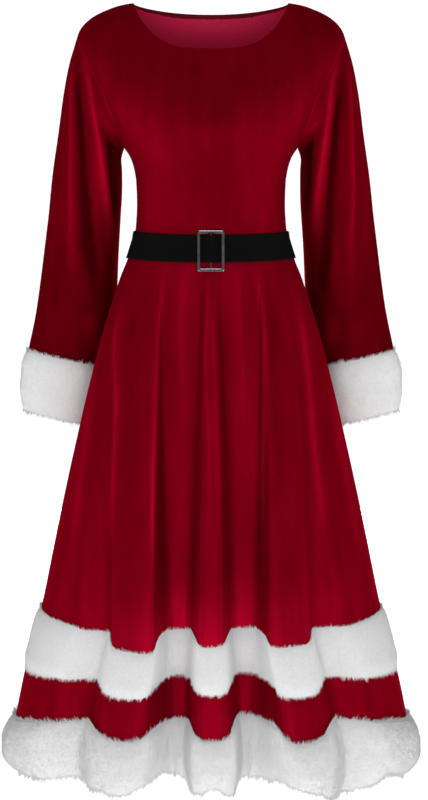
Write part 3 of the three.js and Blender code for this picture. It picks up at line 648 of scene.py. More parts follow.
def wall(name, outer, inner, looks, tube=False):
    """A closed wall between an outer and an inner grid, with a look for its face side and its edges
    and one for its wrong side."""
    rows, columns = outer.shape[:2]
    last = columns if tube else columns - 1
    i, j = np.meshgrid(np.arange(rows - 1), np.arange(last), indexing="ij")
    u = np.linspace(0, 1, columns + 1) * steps_along(outer[rows // 2]).sum()
    v = np.concatenate([[0], steps_along(outer[:, columns // 2]).cumsum()])
    quads, marks, places = [], [], []

    def add(corners, look):
        index = [(side * rows + i) * columns + j % columns for side, i, j in corners]
        quads.append(np.stack([np.broadcast_to(x, index[0].shape).ravel() for x in index], axis=1))
        uv = [np.stack(np.broadcast_arrays(u[j], v[i]), axis=-1) for _, i, j in corners]
        places.append(np.stack([corner.reshape(-1, 2) for corner in uv], axis=1))
        marks.append(np.full(index[0].size, look))

    add([(0, i, j), (0, i, j + 1), (0, i + 1, j + 1), (0, i + 1, j)], 0)
    add([(1, i, j), (1, i + 1, j), (1, i + 1, j + 1), (1, i, j + 1)], 1)
    k = np.arange(last)
    top, end = np.zeros_like(k), np.full_like(k, rows - 1)
    add([(0, top, k), (1, top, k), (1, top, k + 1), (0, top, k + 1)], 0)
    add([(0, end, k), (0, end, k + 1), (1, end, k + 1), (1, end, k)], 0)
    if not tube:
        k = np.arange(rows - 1)
        left, right = np.zeros_like(k), np.full_like(k, columns - 1)
        add([(0, k, left), (0, k + 1, left), (1, k + 1, left), (1, k, left)], 0)
        add([(0, k, right), (1, k, right), (1, k + 1, right), (0, k + 1, right)], 0)
    points = np.concatenate([outer.reshape(-1, 3), inner.reshape(-1, 3)])
    faces, uv = np.concatenate(quads), np.concatenate(places)
    a, b, c = (points[faces[:, n]] for n in (0, 1, 2))
    if np.sum(a * np.cross(b, c)) < 0:
        faces, uv = faces[:, ::-1], uv[:, ::-1]
    return new_piece(name, points, faces, looks, np.concatenate(marks), uv)


# The bodice

def half_at(z):
    """Half the closed body's width, which follows the shoulder above its tip."""
    near = np.full(np.shape(z), float(NECK_HALF))
    far = np.full(np.shape(z), float(TIP_X))
    for _ in range(36):
        middle = (near + far) / 2
        higher = value_at(SHOULDER, "x", "z", middle) > z
        near, far = np.where(higher, middle, near), np.where(higher, far, middle)
    return np.where(z <= TIP_Z, value_at(TORSO, "z", "half", z), (near + far) / 2)


def torso_y(side, x, z):
    depth = value_at(TORSO, "z", "front" if side < 0 else "back", z)
    share = np.minimum(np.abs(x) / half_at(z), 1)
    return side * depth * (1 - share**SQUARE) ** (1 / SQUARE)


def armhole_x(z):
    up = (z - ARMPIT_Z) / (TIP_Z - ARMPIT_Z)
    return mix(ARMPIT_X, TIP_X, up) - ARMHOLE_BOW * 4 * up * (1 - up)


def neckline_z(side, x):
    share = np.minimum(np.abs(x) / NECK_HALF, 1)
    if side < 0:
        return -FRONT_NECK_DROP * (1 - share**3.4) ** 0.9
    return -BACK_NECK_DROP * (1 - share**2.2)


def bodice(name, side, lines):
    neck = math.asin((NECK_HALF / TIP_X) ** (SQUARE / 2))
    edge = math.pi / 2
    close = edge - np.radians([3.2, 2.0, 1.2, 0.6, 0.25])
    over_neck = neck * (1 - (1 - np.linspace(0, 1, 23)) ** 1.7)
    over_shoulder = np.linspace(neck, edge, 19)[1:-1]
    half = np.unique(np.concatenate([over_neck, over_shoulder, close, [edge]]).round(7))
    angles = np.concatenate([-half[:0:-1], half])
    wave = squared(np.sin(angles))
    waist = WAIST_Z + SEAM / 2 + SKIRT["rise"][0] * np.cos(angles) ** 2
    lower_up = np.linspace(0, 1, 30)[:, None]
    lower_z = mix(waist, ARMPIT_Z, lower_up)
    lower_x = half_at(lower_z) * wave
    up = (1 - np.cos(np.linspace(0, math.pi, 52)[1:, None])) / 2
    top_x = TIP_X * wave
    is_neck = np.abs(top_x) <= NECK_HALF + 1e-6
    top_z = np.where(is_neck, neckline_z(side, top_x), value_at(SHOULDER, "x", "z", np.abs(top_x)))
    upper_z = mix(ARMPIT_Z, top_z, up)
    upper_x = armhole_x(mix(ARMPIT_Z, TIP_Z, up)) * wave
    x, z = np.vstack([lower_x, upper_x]), np.vstack([lower_z, upper_z])
    y = torso_y(side, x, z)
    y[-1, ~is_neck] = 0
    y[:, [0, -1]] *= np.vstack([np.zeros((len(lower_up), 1)), np.where(up < 1, 1, 0)])
    cloth = np.stack([x, y, z], axis=-1)
    inwards = -normals_of(cloth)
    inwards[0] = unit(inwards[0] * (1, 1, 0))
    below = len(lower_up)
    for column, hand in ((0, -1), (-1, 1)):
        out = unit(np.array([hand * (TIP_Z - ARMPIT_Z), 0, ARMPIT_X - TIP_X]))
        inwards[:below, column] = (-hand, 0, 0)
        rising = inwards[below:, column]
        inwards[below:, column] = unit(rising - (rising @ out)[:, None] * out)
    shoulder = np.flatnonzero(~is_neck)
    inwards[-1, shoulder] = unit(inwards[-1, shoulder] * (1, 0, 1))
    _, to_top, left, right = edge_distance(cloth)
    sewn = np.minimum(np.minimum(left, right), np.where(is_neck, FAR, to_top))
    to_neck = np.where(is_neck, to_top, FAR)
    turn = 0.3 * smooth((NECK_TURN + 1 - to_neck) / 2)
    turn -= 0.3 * np.exp(-(((to_neck - NECK_TURN) / 1.1) ** 2))
    free = smooth(sewn / 12) * smooth(to_top / 12)
    height = creases(x, z, lines) * free + turn
    outer, inner = velvet_walls(cloth, inwards, sewn, height)
    for grid in (outer, inner):
        crossed = grid[..., 1] * side < SEAM / 2
        grid[crossed, 1] = side * SEAM / 2
    piece = wall(name, outer, inner, VELVET_LOOKS)
    # Painted light on the lower sides, painted shade over the whole bodice, a little random tone,
    # and a lighter line along the armhole seam.
    flank = smooth((np.abs(x) - FLANK_START) / FLANK_WIDTH)
    flank *= smooth((FLANK_TOP - z + FLANK_SLOPE * np.abs(x)) / FLANK_HEIGHT)
    painted_light_and_tone = FLANK_LIGHT * flank + 0.05 * noise(cloth, 44, 3 + side) + BODICE_PAINTED_SHADE
    to_armhole = np.where(z > ARMPIT_Z, np.minimum(left, right), FAR)
    painted_light_and_tone += SEAM_LIGHT * np.exp(-((to_armhole / SEAM_REACH) ** 2))
    mark(piece, "painted_light_and_tone", painted_light_and_tone, painted_light_and_tone)
    covered = smooth((NECK_TURN + 0.5 - to_neck) / 1.5)
    mark(piece, "turned", covered, covered)
    return piece


# The skirt

def skirt_rows(folds, levels, steps):
    """The skirt's cloth through a run of folds, and the way out of its unfolded section."""
    z = np.array(levels, float)[:, None]
    half, front, back, fold, rise, spread = (
        value_at(SKIRT, "z", column, z) for column in list(SKIRT)[1:]
    )
    tier_half = value_at(SKIRT, "z", "half", TIER_Z)
    flare = (1 - SKIRT["half"][0] / half) / (1 - SKIRT["half"][0] / tier_half)
    fall = np.clip((z - TIER_Z) / (HEM_Z - TIER_Z), 0, 1)
    flare = np.where(z > TIER_Z, flare, 1)
    count = len(folds["top"]) - 1
    inner = np.arange(0, count * steps + 1) / steps
    close = np.array([0.004, 0.01, 0.02]) * count
    place = np.unique(np.concatenate([inner, close / 3, count - close / 3]).round(6))
    k = np.minimum(place.astype(int), count - 1)
    t = place - k

    def between(column, share):
        return mix(folds[column][k], folds[column][k + 1], share)

    in_tier = mix(between("top", t), between("tier", t), flare)
    angle = np.radians(mix(in_tier, between("hem", t), fall))
    crown = np.where(folds["out"][k] * folds["out"][k + 1] > 0.3, np.sign(folds["out"][k]), 0)
    swell = (1 - (2 * t - 1) ** 4) * crown
    out = fold * (between("out", smooth(t)) + FOLD_CROWN * swell)
    rising = folds["out"][k + 1] - folds["out"][k]
    from_lobe = np.where(rising > 0, 1 - t, t)
    quick = 1 - smooth(from_lobe / LOBE_SIDE)
    side = np.where(np.abs(rising) > 0.5, np.where(rising > 0, quick, 1 - quick), smooth(t))
    drop = flare * mix(between("drop", side), between("hem_drop", side), fall)
    drop += np.where(swell > 0, LOBE_DROP, VALLEY_DROP) * swell * flare * mix(0.4, 1, fall)
    depth = np.where(np.cos(angle) > 0, front, back)
    sine, cosine = squared(np.sin(angle)), squared(np.cos(angle))
    away = unit(np.stack([
        np.sign(sine) * np.abs(sine) ** (SQUARE - 1) / half,
        -np.sign(cosine) * np.abs(cosine) ** (SQUARE - 1) / depth,
        np.zeros_like(sine),
    ], axis=-1))
    outwards = unit(away * (FOLD_SIDEWAYS, 1, 1))
    lift = rise * (1 - np.abs(np.sin(angle)) ** spread) - drop
    points = np.stack([half * sine, -depth * cosine, z + lift], axis=-1) + outwards * out[..., None]
    points[0, :, 2] -= SEAM / 2
    points[-1, :, 2] += SEAM / 2
    return points, away


def skirt_inwards(cloth):
    inwards = -normals_of(cloth)
    for row in (0, -1):
        inwards[row] = unit(inwards[row] * (1, 1, 0))
    for column in (0, -1):
        inwards[:, column] = 0
        inwards[:, column, 0] = -np.sign(cloth[:, column, 0])
    return inwards


def set_sides(grids, side):
    """Sets the side edges half a seam off the plane between front and back."""
    for grid in grids:
        grid[:, [0, -1], 1] = side * SEAM / 2


def velvet_tier(name, folds, levels, lines, light):
    """A tier of velvet. Painted light makes it lighter by an amount towards its lower edge."""
    side = -1 if folds is FRONT_FOLDS else 1
    cloth, _ = skirt_rows(folds, levels, 12)
    inwards = skirt_inwards(cloth)
    first, last, left, right = edge_distance(cloth)
    sewn = np.minimum(np.minimum(first, last), np.minimum(left, right))
    free = smooth(sewn / 16)
    height, painted_light_and_tone = drape(cloth[..., 0], cloth[..., 2], lines)
    height = (height + 0.9 * noise(cloth * (1, 1, 0.22), 34, 5 + side)) * free
    outer, inner = velvet_walls(cloth, inwards, sewn, height)
    set_sides((outer, inner), side)
    piece = wall(name, outer, inner, VELVET_LOOKS)
    # Painted light towards the lower edge, uneven, and a little random tone, added to the painted
    # highlights and shade along the long folds.
    low = light * smooth(1 - last / LIGHT_REACH)
    low *= np.clip(LIGHT_MIDDLE - np.abs(cloth[..., 0]) / LIGHT_FADE, 0.05, 1.5)
    uneven = 0.9 + 0.3 * noise(cloth, 30, 21 + side)
    painted_light_and_tone += low * uneven + 0.06 * noise(cloth * (1, 1, 0.5), 46, 9)
    mark(piece, "painted_light_and_tone", painted_light_and_tone, painted_light_and_tone)
    return piece


# Pile

# How far single hairs stand out of pile of a length, and how far they lean down or, below 0, up.
PILE_REACH = table("pile reach", (10, 3.8), (13, 4.3), (19, 5.6))
LIE = table("at down", (0, -1.5), (0.08, -0.4), (0.3, 0.15), (0.75, 0.35), (0.93, 0.9), (1, 2.2))
# How much lower than its frame the front hem hangs, across the dress.
HEM_FALL = table(
    "x fall",
    (-294, -5), (-269, 3), (-244, 8), (-201, 8), (-176, 10), (-159, 4), (-129, 1), (-104, -5),
    (-74, -12), (-58, -4), (-36, 10), (-19, -1), (6, -14), (27, 2), (45, 15), (65, 9), (86, 5),
    (103, -5), (129, -15), (154, -5), (174, 22), (200, 30), (221, 24), (243, 15), (264, -1),
    (285, 0),
)


def spikes(name, shell, lie, face, count, pile, seed):
    """Pile of a length as one mesh of slender three-sided spikes. They grow from a shell, in tufts,
    and take the light as its face does. A share of them grows from its first and last rows."""
    rng = np.random.default_rng(seed)
    length = value_at(PILE_REACH, "pile", "reach", pile)
    rows = shell.shape[0]
    corner = [shell[:-1, :-1], shell[:-1, 1:], shell[1:, 1:], shell[1:, :-1]]
    area = np.linalg.norm(np.cross(corner[2] - corner[0], corner[3] - corner[1]), axis=-1) / 2
    chance = area / area.sum()
    for row, share in zip((0, -1), EDGE_SHARE):
        ends = steps_along(shell[row])
        chance = chance * (1 - share)
        chance[row] += share * ends / ends.sum()
    cell = rng.choice(area.size, count, p=(chance / chance.sum()).ravel())
    i, j = np.unravel_index(cell, area.shape)
    a, b = rng.random((2, count, 1))

    def spot(grid):
        upper, lower = (mix(grid[row, j], grid[row, j + 1], b) for row in (i, i + 1))
        return mix(upper, lower, a)

    at = (i + a[:, 0]) / (rows - 1)
    root, out = spot(shell), unit(spot(lie))
    down = value_at(LIE, "at", "down", at)[:, None]
    swirl = np.stack([noise(root, SWIRL_SIZE, seed + n) for n in range(3)], axis=-1)
    stray = rng.normal(0, 1, (count, 3))
    way = unit(out + down * np.array([0, 0, -1.0]) + SWIRL * swirl + STRAY * stray)
    ragged = np.clip(1 - np.minimum(at, 1 - at) / EDGE_REACH, 0, 1)
    tufts = (0.1 + 0.8 * ragged) * noise(root, TUFT_SIZE, seed + 7) + 1.25 * ragged
    tall = (length * (0.55 + tufts) * rng.uniform(0.7, 1.15, count))[:, None]
    root = root - out * (1 - 0.8 * np.clip(1 - at / EDGE_REACH, 0, 1))[:, None]
    across = unit(np.cross(way, stray))
    beside = np.cross(way, across)
    broad = HAIR_WIDTH * rng.uniform(0.7, 1.25, (count, 1)) / 2
    turns = [math.tau * n / 3 for n in range(3)]
    feet = [root + broad * (across * math.cos(turn) + beside * math.sin(turn)) for turn in turns]
    points = np.stack([*feet, root + way * tall], axis=1)
    base = np.arange(count)[:, None] * 4
    faces = np.concatenate([base + (0, 1, 3), base + (1, 2, 3), base + (2, 0, 3)])
    piece = new_piece(name, points.reshape(-1, 3), faces, [materials["pile"]], sharp=0)
    normal = unit(unit(spot(face)) + 0.35 * out + 0.1 * way)
    normal = np.repeat(normal[:, None], 4, axis=1).reshape(-1, 3)
    piece.data.normals_split_custom_set_from_vertices(normal.tolist())
    # Each point's place along its spike, 0.1 at the feet and 1 at the tip, which the pile's colour
    # uses to paint shade at the roots.
    height = piece.data.attributes.new("tip", "FLOAT", "POINT")
    height.data.foreach_set("value", np.tile([0.1, 0.1, 0.1, 1.0], count).astype(np.float32))
    return piece


def pile_strip(name, folds, levels, length, profile, tuck, count, seed):
    """A strip of pile between two levels. Its lower edge is tucked in by an amount."""
    side = -1 if folds is FRONT_FOLDS else 1
    at = np.unique(np.concatenate([np.linspace(0, 1, 13), [0.03, 0.97]]))
    cloth, away = skirt_rows(folds, mix(*levels, at), 8)
    inwards = skirt_inwards(cloth)
    low = np.clip((at - 0.5) / 0.5, 0, 1)[:, None]
    curl = 1 - np.sqrt(1 - (0.97 * low) ** 2)
    if tuck:
        across = cloth[..., 0]
        cloth = cloth - away * (curl * (tuck + SIDE_TUCK * (np.abs(across) / 300) ** 8))[..., None]
        if side < 0:
            cloth[..., 2] -= value_at(HEM_FALL, "x", "fall", across) * smooth(at)[:, None]
    lean = unit((away - inwards * PILE_SPREAD) * (1, 1, 0))
    thick = length * value_at(profile, "at", "pile", at)[:, None]
    lumps = 1 + 0.10 * noise(cloth, 24, seed) + 0.06 * noise(cloth, 10, seed + 1)
    outer = cloth + lean * (thick * PILE_FILL * lumps)[..., None]
    inner = cloth + inwards * BACKING
    set_sides((outer, inner), side)
    ground = wall(f"{name}_ground", outer, inner, PILE_LOOKS)
    face = normals_of(outer)
    steep = np.clip(1 - np.sum(face * away, axis=-1, keepdims=True), 0, 1) ** 2
    soft = unit(face + PILE_GLOW * steep * away)
    normal = np.concatenate([soft, inwards]).reshape(-1, 3)
    ground.data.normals_split_custom_set_from_vertices(normal.tolist())
    return ground, spikes(name, outer, lean + 0.35 * face, soft, count, length, seed)


# The sleeves and cuffs

def sleeve_ring(hand, ring, fold, grow, turns):
    """Points round a ring from its outer edge over the front to its inner edge and back."""
    outer = np.array([hand * ring["out_x"], ring["out_y"], ring["out_z"]])
    inner = np.array([hand * ring["in_x"], ring["in_y"], ring["in_z"]])
    centre, half = (outer + inner) / 2, np.linalg.norm(outer - inner) / 2
    across = unit(outer - inner)
    forward = unit(np.array([0, -1, 0]) + across * across[1])
    wave = fold * np.cos(SLEEVE_FOLDS * turns + SLEEVE_FOLD_TURN)
    wide = (half + grow + wave) * np.cos(turns)
    deep = (ring["depth"] + grow + wave) * np.sin(turns)
    return centre + across * wide[:, None] + forward * deep[:, None]


def armhole_ring(hand, turns):
    """The armhole's own ring, set off from the bodice by the seam."""
    side = np.where(turns <= math.pi, -1, 1)
    up = (1 + np.cos(turns)) / 2
    z = mix(ARMPIT_Z, TIP_Z, up)
    depth = np.where(side < 0, -torso_y(-1, armhole_x(z), z), torso_y(1, armhole_x(z), z))
    depth = np.where((up <= 1e-9) | (up >= 1 - 1e-9), 0, depth)
    out = unit(np.array([hand * (TIP_Z - ARMPIT_Z), 0, ARMPIT_X - TIP_X]))
    return np.stack([hand * armhole_x(z), side * depth, z], axis=-1) + out * SEAM


def through(rings, places):
    """Rings on a smooth curve through given rings, at places that count rings from the first."""
    rings = np.array(rings)
    gap = np.linalg.norm(np.diff(rings, axis=0), axis=-1)[..., None]
    slope = np.diff(rings, axis=0) / gap
    middle = (slope[:-1] * gap[1:] + slope[1:] * gap[:-1]) / (gap[1:] + gap[:-1])
    tangent = np.concatenate([slope[:1], middle, slope[-1:]])
    k = np.minimum(places.astype(int), len(rings) - 2)
    t = (places - k)[:, None, None]
    return hermite(rings[k], rings[k + 1], tangent[k] * gap[k], tangent[k + 1] * gap[k], t)


def sleeve(name, hand, lines):
    turns = np.linspace(0, 2 * math.pi, 92, endpoint=False)
    rings = [armhole_ring(hand, turns)]
    for k in range(len(SLEEVE["depth"])):
        ring = {column: SLEEVE[column][k] for column in SLEEVE}
        rings.append(sleeve_ring(hand, ring, ring["fold"], 0, turns))
    last = len(rings) - 1
    near = np.array([0, 0.03, 0.07, 0.13, 0.2])
    places = np.unique(np.concatenate([near, np.linspace(0, last, 81), last - near / 4]).round(6))
    cloth = through(rings, places)
    inwards = -normals_of(cloth, tube=True)
    middle = cloth.mean(axis=1, keepdims=True)
    inwards[0] = unit(middle[0] - cloth[0])
    inwards[-1] = unit(middle[-1] - cloth[-1])
    first, end, _, _ = edge_distance(cloth)
    sewn = np.minimum(first, end)
    free = smooth(first / 14) * smooth(end / 10)
    girth, pitch = 1.35, 62.0  # millimetres round the sleeve for a degree, and down it for a ring
    round_it = np.degrees(turns)[None, :] * girth * np.ones((len(places), 1))
    down_it = places[:, None] * pitch * np.ones((1, len(turns)))
    scaled = [
        (*line[:3], *((turn * girth, ring * pitch) for turn, ring in line[3:])) for line in lines
    ]
    height, painted_light_and_tone = drape(round_it, down_it, scaled)
    height = (height + 0.7 * noise(cloth * (1, 1, 0.3), 26, 11 + hand)) * free
    outer, inner = velvet_walls(cloth, inwards, sewn, height)
    piece = wall(name, outer, inner, VELVET_LOOKS, tube=True)
    # Painted shade over the whole sleeve and more of it low down and on the inner side, a little
    # random tone and a lighter line along the armhole seam, added to the painted highlights and
    # shade along the long folds.
    low = smooth((places - 3) / 4)[:, None]
    painted_light_and_tone += 0.06 * noise(cloth * (1, 1, 0.5), 40, 15 + hand) + SLEEVE_PAINTED_SHADE - SLEEVE_LOW_PAINTED_SHADE * low
    painted_light_and_tone -= SLEEVE_INNER_PAINTED_SHADE * np.exp(-(((np.degrees(turns) - INNER_TURN) / INNER_REACH) ** 2))
    painted_light_and_tone += SEAM_LIGHT * np.exp(-((first / SEAM_REACH) ** 2))
    mark(piece, "painted_light_and_tone", painted_light_and_tone, painted_light_and_tone)
    return piece


def cuff(name, hand, seed):
    turns = np.linspace(0, 2 * math.pi, 96, endpoint=False)
    at = np.unique(np.concatenate([np.linspace(0, 1, 15), [0.03, 0.97]]))

    def grid(grow):
        rings = []
        for share, more in zip(at, grow):
            ring = {column: mix(SLEEVE[column][-1], CUFF_END[column], share) for column in CUFF_END}
            ring["out_z"] -= SEAM * (1 - share)
            ring["in_z"] -= SEAM * (1 - share)
            rings.append(sleeve_ring(hand, ring, SLEEVE["fold"][-1], more, turns))
        return np.array(rings)

    thick = CUFF_PILE * value_at(HEM_PROFILE, "at", "pile", at) * PILE_FILL
    outer, inner = grid(thick), grid(np.full(len(at), -BACKING))
    out = unit(outer - inner)
    lumps = 0.10 * noise(outer, 24, seed) + 0.06 * noise(outer, 10, seed + 1)
    outer += out * (thick[:, None] * lumps)[..., None]
    ground = wall(f"{name}_ground", outer, inner, PILE_LOOKS, tube=True)
    face = normals_of(outer, tube=True)
    closed = [
        np.concatenate([part, part[:, :1]], axis=1) for part in (outer, out + 0.35 * face, face)
    ]
    return ground, spikes(name, *closed, CUFF_HAIRS, CUFF_PILE, seed)


# The belt

def waist_point(angle, z, grow):
    """The cloth's section under the belt, grown outwards."""
    torso = half_at(z), value_at(TORSO, "z", "front", z), value_at(TORSO, "z", "back", z)
    half, front, back = (
        np.where(z < WAIST_Z, value_at(SKIRT, "z", column, z), above)
        for column, above in zip(("half", "front", "back"), torso)
    )
    depth = np.where(np.cos(angle) > 0, front, back)
    return np.stack([
        (half + grow) * squared(np.sin(angle)),
        -(depth + grow) * squared(np.cos(angle)),
        z + SKIRT["rise"][0] * np.cos(angle) ** 2,
    ], axis=-1)


def belt(name):
    """The strap, with rounded edges. It runs behind the buckle's side bars and over its centre."""
    near_front = np.concatenate([np.linspace(0, 24, 17), np.linspace(26, 60, 10)])
    turned = np.arcsin((near_front / value_at(SKIRT, "z", "half", BUCKLE_Z)) ** (SQUARE / 2))
    rest = np.linspace(turned[-1], 2 * math.pi - turned[-1], 110)[1:-1]
    angle = np.concatenate([turned, rest, 2 * math.pi - turned[:0:-1]])[None, :]
    down = np.array([0, 0.3, 0.8, 1.6, *np.linspace(3, BELT_HEIGHT - 3, 5),
                     BELT_HEIGHT - 1.6, BELT_HEIGHT - 0.8, BELT_HEIGHT - 0.3, BELT_HEIGHT])[:, None]
    z = BELT_TOP - down + 0 * angle
    to_edge = np.minimum(down, BELT_HEIGHT - down)
    rounding = np.clip(1 - (1 - np.clip(to_edge, 0, 1)) ** 2, 0, 1)
    round_off = BELT_THICKNESS / 2 * (1 - np.sqrt(rounding))
    x = np.abs(waist_point(angle, z, 0)[..., 0])
    over = np.where(np.cos(angle) > 0, value_at(BELT_FRONT, "x", "over", x), 0) * BELT_LIFT
    outer = waist_point(angle, z, BELT_CLEARANCE + BELT_THICKNESS + over - round_off)
    inner = waist_point(angle, z, BELT_CLEARANCE + over + round_off)
    return wall(name, outer, inner, [materials["webbing"], materials["webbing"]], tube=True)


def buckle(name):
    """A flat frame with bevelled edges, and a centre bar behind the strap."""
    bevel, corner_steps = 0.9, 6
    t = BUCKLE_THICKNESS
    # Across the rail: share from its inner to its outer edge, and how far forward.
    profile = [(0, 0), (0, t - bevel), (0.07, t - bevel * 0.35), (bevel / BUCKLE_BAR, t),
               (1 - bevel / BUCKLE_BAR, t), (0.93, t - bevel * 0.35), (1, t - bevel), (1, 0)]
    loops = []
    for share, forward in profile:
        grow = (share - 1) * BUCKLE_BAR
        half_x, half_z = BUCKLE_WIDTH / 2 + grow, BUCKLE_HEIGHT / 2 + grow
        radius = mix(0.5, 3.0, share)
        ring = []
        for quarter in range(4):
            x_sign, z_sign = ((1, 1), (-1, 1), (-1, -1), (1, -1))[quarter]
            for step in range(corner_steps + 1):
                turn = math.pi / 2 * (quarter + step / corner_steps)
                ring.append((x_sign * (half_x - radius) + radius * math.cos(turn), -forward,
                             z_sign * (half_z - radius) + radius * math.sin(turn)))
        loops.append(ring)
    points = np.array(loops).reshape(-1, 3)
    count, around = len(profile), len(loops[0])
    i, j = np.meshgrid(np.arange(count), np.arange(around), indexing="ij")
    faces = np.stack([i * around + j, i * around + (j + 1) % around,
                      (i + 1) % count * around + (j + 1) % around, (i + 1) % count * around + j],
                     axis=-1).reshape(-1, 4)
    bar_x, bar_z = BUCKLE_BAR / 4, BUCKLE_HEIGHT / 2 - BUCKLE_BAR + 0.6
    section = [(-bar_x, 0), (-bar_x, 0.5), (-bar_x + 0.4, 0.9),
               (bar_x - 0.4, 0.9), (bar_x, 0.5), (bar_x, 0)]
    bar = np.array([(x, -y, z) for z in (-bar_z, bar_z) for x, y in section])
    n = len(section)
    sides = [(k, (k + 1) % n, n + (k + 1) % n, n + k) for k in range(n)]
    caps = [(5, 4, 1, 0), (4, 3, 2, 1), (n, n + 1, n + 4, n + 5), (n + 1, n + 2, n + 3, n + 4)]
    faces = np.concatenate([faces[:, ::-1], np.array(sides + caps) + len(points)])
    points = np.concatenate([points, bar])
    grow = BELT_CLEARANCE + BELT_THICKNESS + BUCKLE_GAP
    high, low = (
        waist_point(np.zeros(1), np.array([z]), grow)[0] for z in (BELT_TOP, BELT_TOP - BELT_HEIGHT)
    )
    slope = (low[1] - high[1]) / (high[2] - low[2])
    turn = math.atan(slope)
    y, z = points[:, 1].copy(), points[:, 2].copy()
    forward = high[1] + slope * (high[2] - BUCKLE_Z)
    points[:, 1] = y * math.cos(turn) - z * math.sin(turn) + forward
    points[:, 2] = y * math.sin(turn) + z * math.cos(turn) + BUCKLE_Z
    return new_piece(name, points, faces, [materials["buckle_metal"]], sharp=25)


# The whole dress

def dress_piece(piece, slot, *nodes):
    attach(piece, "root")
    if nodes:
        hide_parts(*nodes)
    return piece


# The levels of the rows of the skirt tiers and of the lower velvet bands, in millimetres
TIER_LEVELS = np.concatenate(
    [[-345, -346, -348, -351], np.linspace(-356, -894, 64), [-899, -901, -902]]
)
LOWER_LEVELS = np.concatenate(
    [[-992, -993, -995, -998], np.linspace(-1003, -1059, 11), [-1064, -1067, -1069, -1070]]
)


def add_cloth(node, slot, held, rests_on, piece, fur=None):
    """Puts a piece of cloth, with the pile on it, in the place of a node."""
    dress_piece(piece, slot, node)
    if fur is not None:
        dress_piece(fur, slot)


bodice_front = bodice("bodice_front_velvet", -1, BODICE_FRONT_CREASES)
bodice_back = bodice("bodice_back_velvet", 1, BODICE_BACK_CREASES)
add_cloth("bodice_front", "velvet", "stretched", ["bodice_back_velvet"], bodice_front)
add_cloth("bodice_back", "velvet", "stretched", ["bodice_front_velvet"], bodice_back)

for hand, word, lines in ((-1, "left", SLEEVE_LINES_LEFT), (1, "right", SLEEVE_LINES_RIGHT)):
    add_cloth(f"sleeve_{word}", "velvet", "hung", ["bodice_front_velvet", "bodice_back_velvet"],
              sleeve(f"sleeve_{word}_velvet", hand, lines))
    add_cloth(f"cuff_{word}", "fur", "hung", [f"sleeve_{word}_velvet"],
              *cuff(f"cuff_{word}_pile", hand, 40 + hand))

for word, folds, lines, seed in (("front", FRONT_FOLDS, SKIRT_FRONT_LINES, 60),
                                 ("back", BACK_FOLDS, SKIRT_BACK_LINES, 80)):
    add_cloth(f"skirt_tier_{word}", "velvet", "hung", [f"bodice_{word}_velvet"],
              velvet_tier(f"skirt_tier_{word}_velvet", folds, TIER_LEVELS, lines, TIER_LIGHT))
    add_cloth(f"fur_band_{word}", "fur", "hung", [f"skirt_tier_{word}_velvet"],
              *pile_strip(f"fur_band_{word}_pile", folds, (TIER_Z, BAND_Z), BAND_PILE,
                          BAND_PROFILE, 0, BAND_HAIRS, seed))
    add_cloth(f"velvet_band_{word}", "velvet", "hung", [f"fur_band_{word}_pile_ground"],
              velvet_tier(f"velvet_band_{word}_velvet", folds, LOWER_LEVELS, [], BAND_LIGHT))
    add_cloth(f"fur_hem_{word}", "fur", "hung", [f"velvet_band_{word}_velvet"],
              *pile_strip(f"fur_hem_{word}_pile", folds, (LOWER_Z, HEM_Z), HEM_PILE,
                          HEM_PROFILE, HEM_TUCK, HEM_HAIRS, seed + 10))

add_cloth("belt", "webbing", "stretched", ["bodice_front_velvet", "skirt_tier_front_velvet"],
          belt("belt_strap"))
dress_piece(buckle("belt_buckle_metal"), "buckle_metal", "belt_buckle")


# Floor, lights and camera, in metres

FLOOR_Z, FLOOR_RADIUS, FLOOR_CORNERS = -1.42, 9, 64
FLOOR_GLOW = 0.75  # light that comes back up from the paper round the dress
MIDDLE = (0, 0, -0.65)  # what the lights round the dress point at
# Each light's name, place, target, width, height and power
LIGHTS = [
    ("front", (0, -4.2, -1.1), MIDDLE, 2.4, 1.6, 74),
    ("high", (0, -0.9, 1.9), (0, -0.1, -0.4), 0.7, 0.3, 7),
    ("back", (0, 4.2, -1.1), MIDDLE, 2.4, 1.6, 70),
    ("left", (-3.8, 0, -0.8), MIDDLE, 1.6, 1.6, 12),
    ("right", (3.8, 0, -0.8), MIDDLE, 1.6, 1.6, 12),
]
AMBIENT, BACKDROP, EXPOSURE = 0.33, 1.0, 0.12
CAMERA_PLACE, CAMERA_DOWN, CAMERA_LENS = (0.0045, -3.1, -0.259), 6.08, 93.0

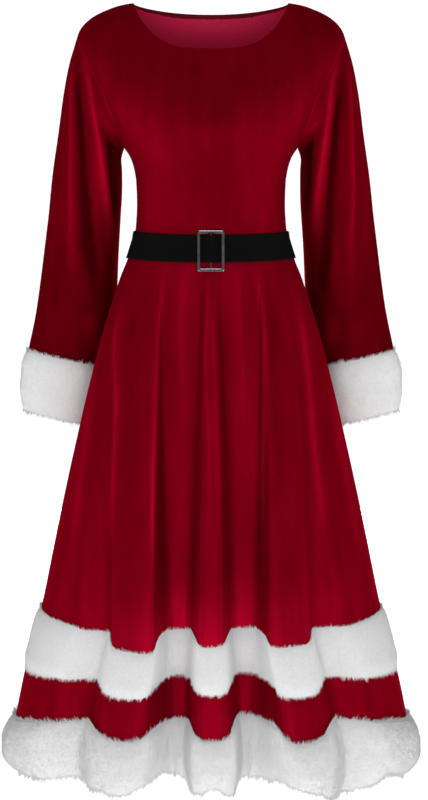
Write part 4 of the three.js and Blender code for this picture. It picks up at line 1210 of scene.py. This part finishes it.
def floor():
    mesh = bpy.data.meshes.new("floor")
    turns = np.linspace(0, 2 * math.pi, FLOOR_CORNERS + 1)[:-1]
    corners = [(math.cos(t) * FLOOR_RADIUS, math.sin(t) * FLOOR_RADIUS, FLOOR_Z) for t in turns]
    mesh.from_pydata(corners, [], [list(range(len(corners)))])
    made = bpy.data.objects.new("floor", mesh)
    bpy.context.scene.collection.objects.link(made)
    look = Look("floor_paper", Roughness=0.9, Specular_IOR_Level=0.1, Emission_Strength=FLOOR_GLOW,
                Emission_Color=(1, 1, 1, 1))
    look.ramp(look.grain(400), (0, grey(0.93)), (1, grey(0.95)))
    mesh.materials.append(look.material)


def aim(thing, target):
    way = np.array(target) - np.array(thing.location)
    thing.rotation_euler = (math.atan2(math.hypot(way[0], way[1]), -way[2]), 0,
                            math.atan2(way[1], way[0]) - math.pi / 2)


def softbox(name, place, target, width, height, power):
    lamp = bpy.data.lights.new(name, "AREA")
    lamp.shape = "RECTANGLE"
    lamp.size, lamp.size_y, lamp.energy = width, height, power
    made = bpy.data.objects.new(name, lamp)
    made.location = place
    aim(made, target)
    made.visible_camera = False
    bpy.context.scene.collection.objects.link(made)


def studio():
    """A world that lights the dress from all round, and is seen behind it at its own strength."""
    made = bpy.data.worlds.new("studio")
    made.use_nodes = True
    nodes, links = made.node_tree.nodes, made.node_tree.links
    light = nodes["Background"]
    light.inputs["Strength"].default_value = AMBIENT
    seen = nodes.new("ShaderNodeBackground")
    seen.inputs["Strength"].default_value = BACKDROP
    for node in (light, seen):
        node.inputs["Color"].default_value = (1, 1, 1, 1)
    path, choice = nodes.new("ShaderNodeLightPath"), nodes.new("ShaderNodeMixShader")
    links.new(path.outputs["Is Camera Ray"], choice.inputs[0])
    links.new(light.outputs[0], choice.inputs[1])
    links.new(seen.outputs[0], choice.inputs[2])
    links.new(choice.outputs[0], nodes["World Output"].inputs["Surface"])
    return made


floor()
for light in LIGHTS:
    softbox(*light)

scene = bpy.context.scene
scene.world = studio()
scene.view_settings.view_transform = "Standard"
scene.view_settings.exposure = EXPOSURE

lens = bpy.data.cameras.new("camera")
lens.lens = CAMERA_LENS
camera = bpy.data.objects.new("camera", lens)
camera.location = CAMERA_PLACE
camera.rotation_euler = (math.radians(90 - CAMERA_DOWN), 0, 0)
scene.collection.objects.link(camera)
scene.camera = camera
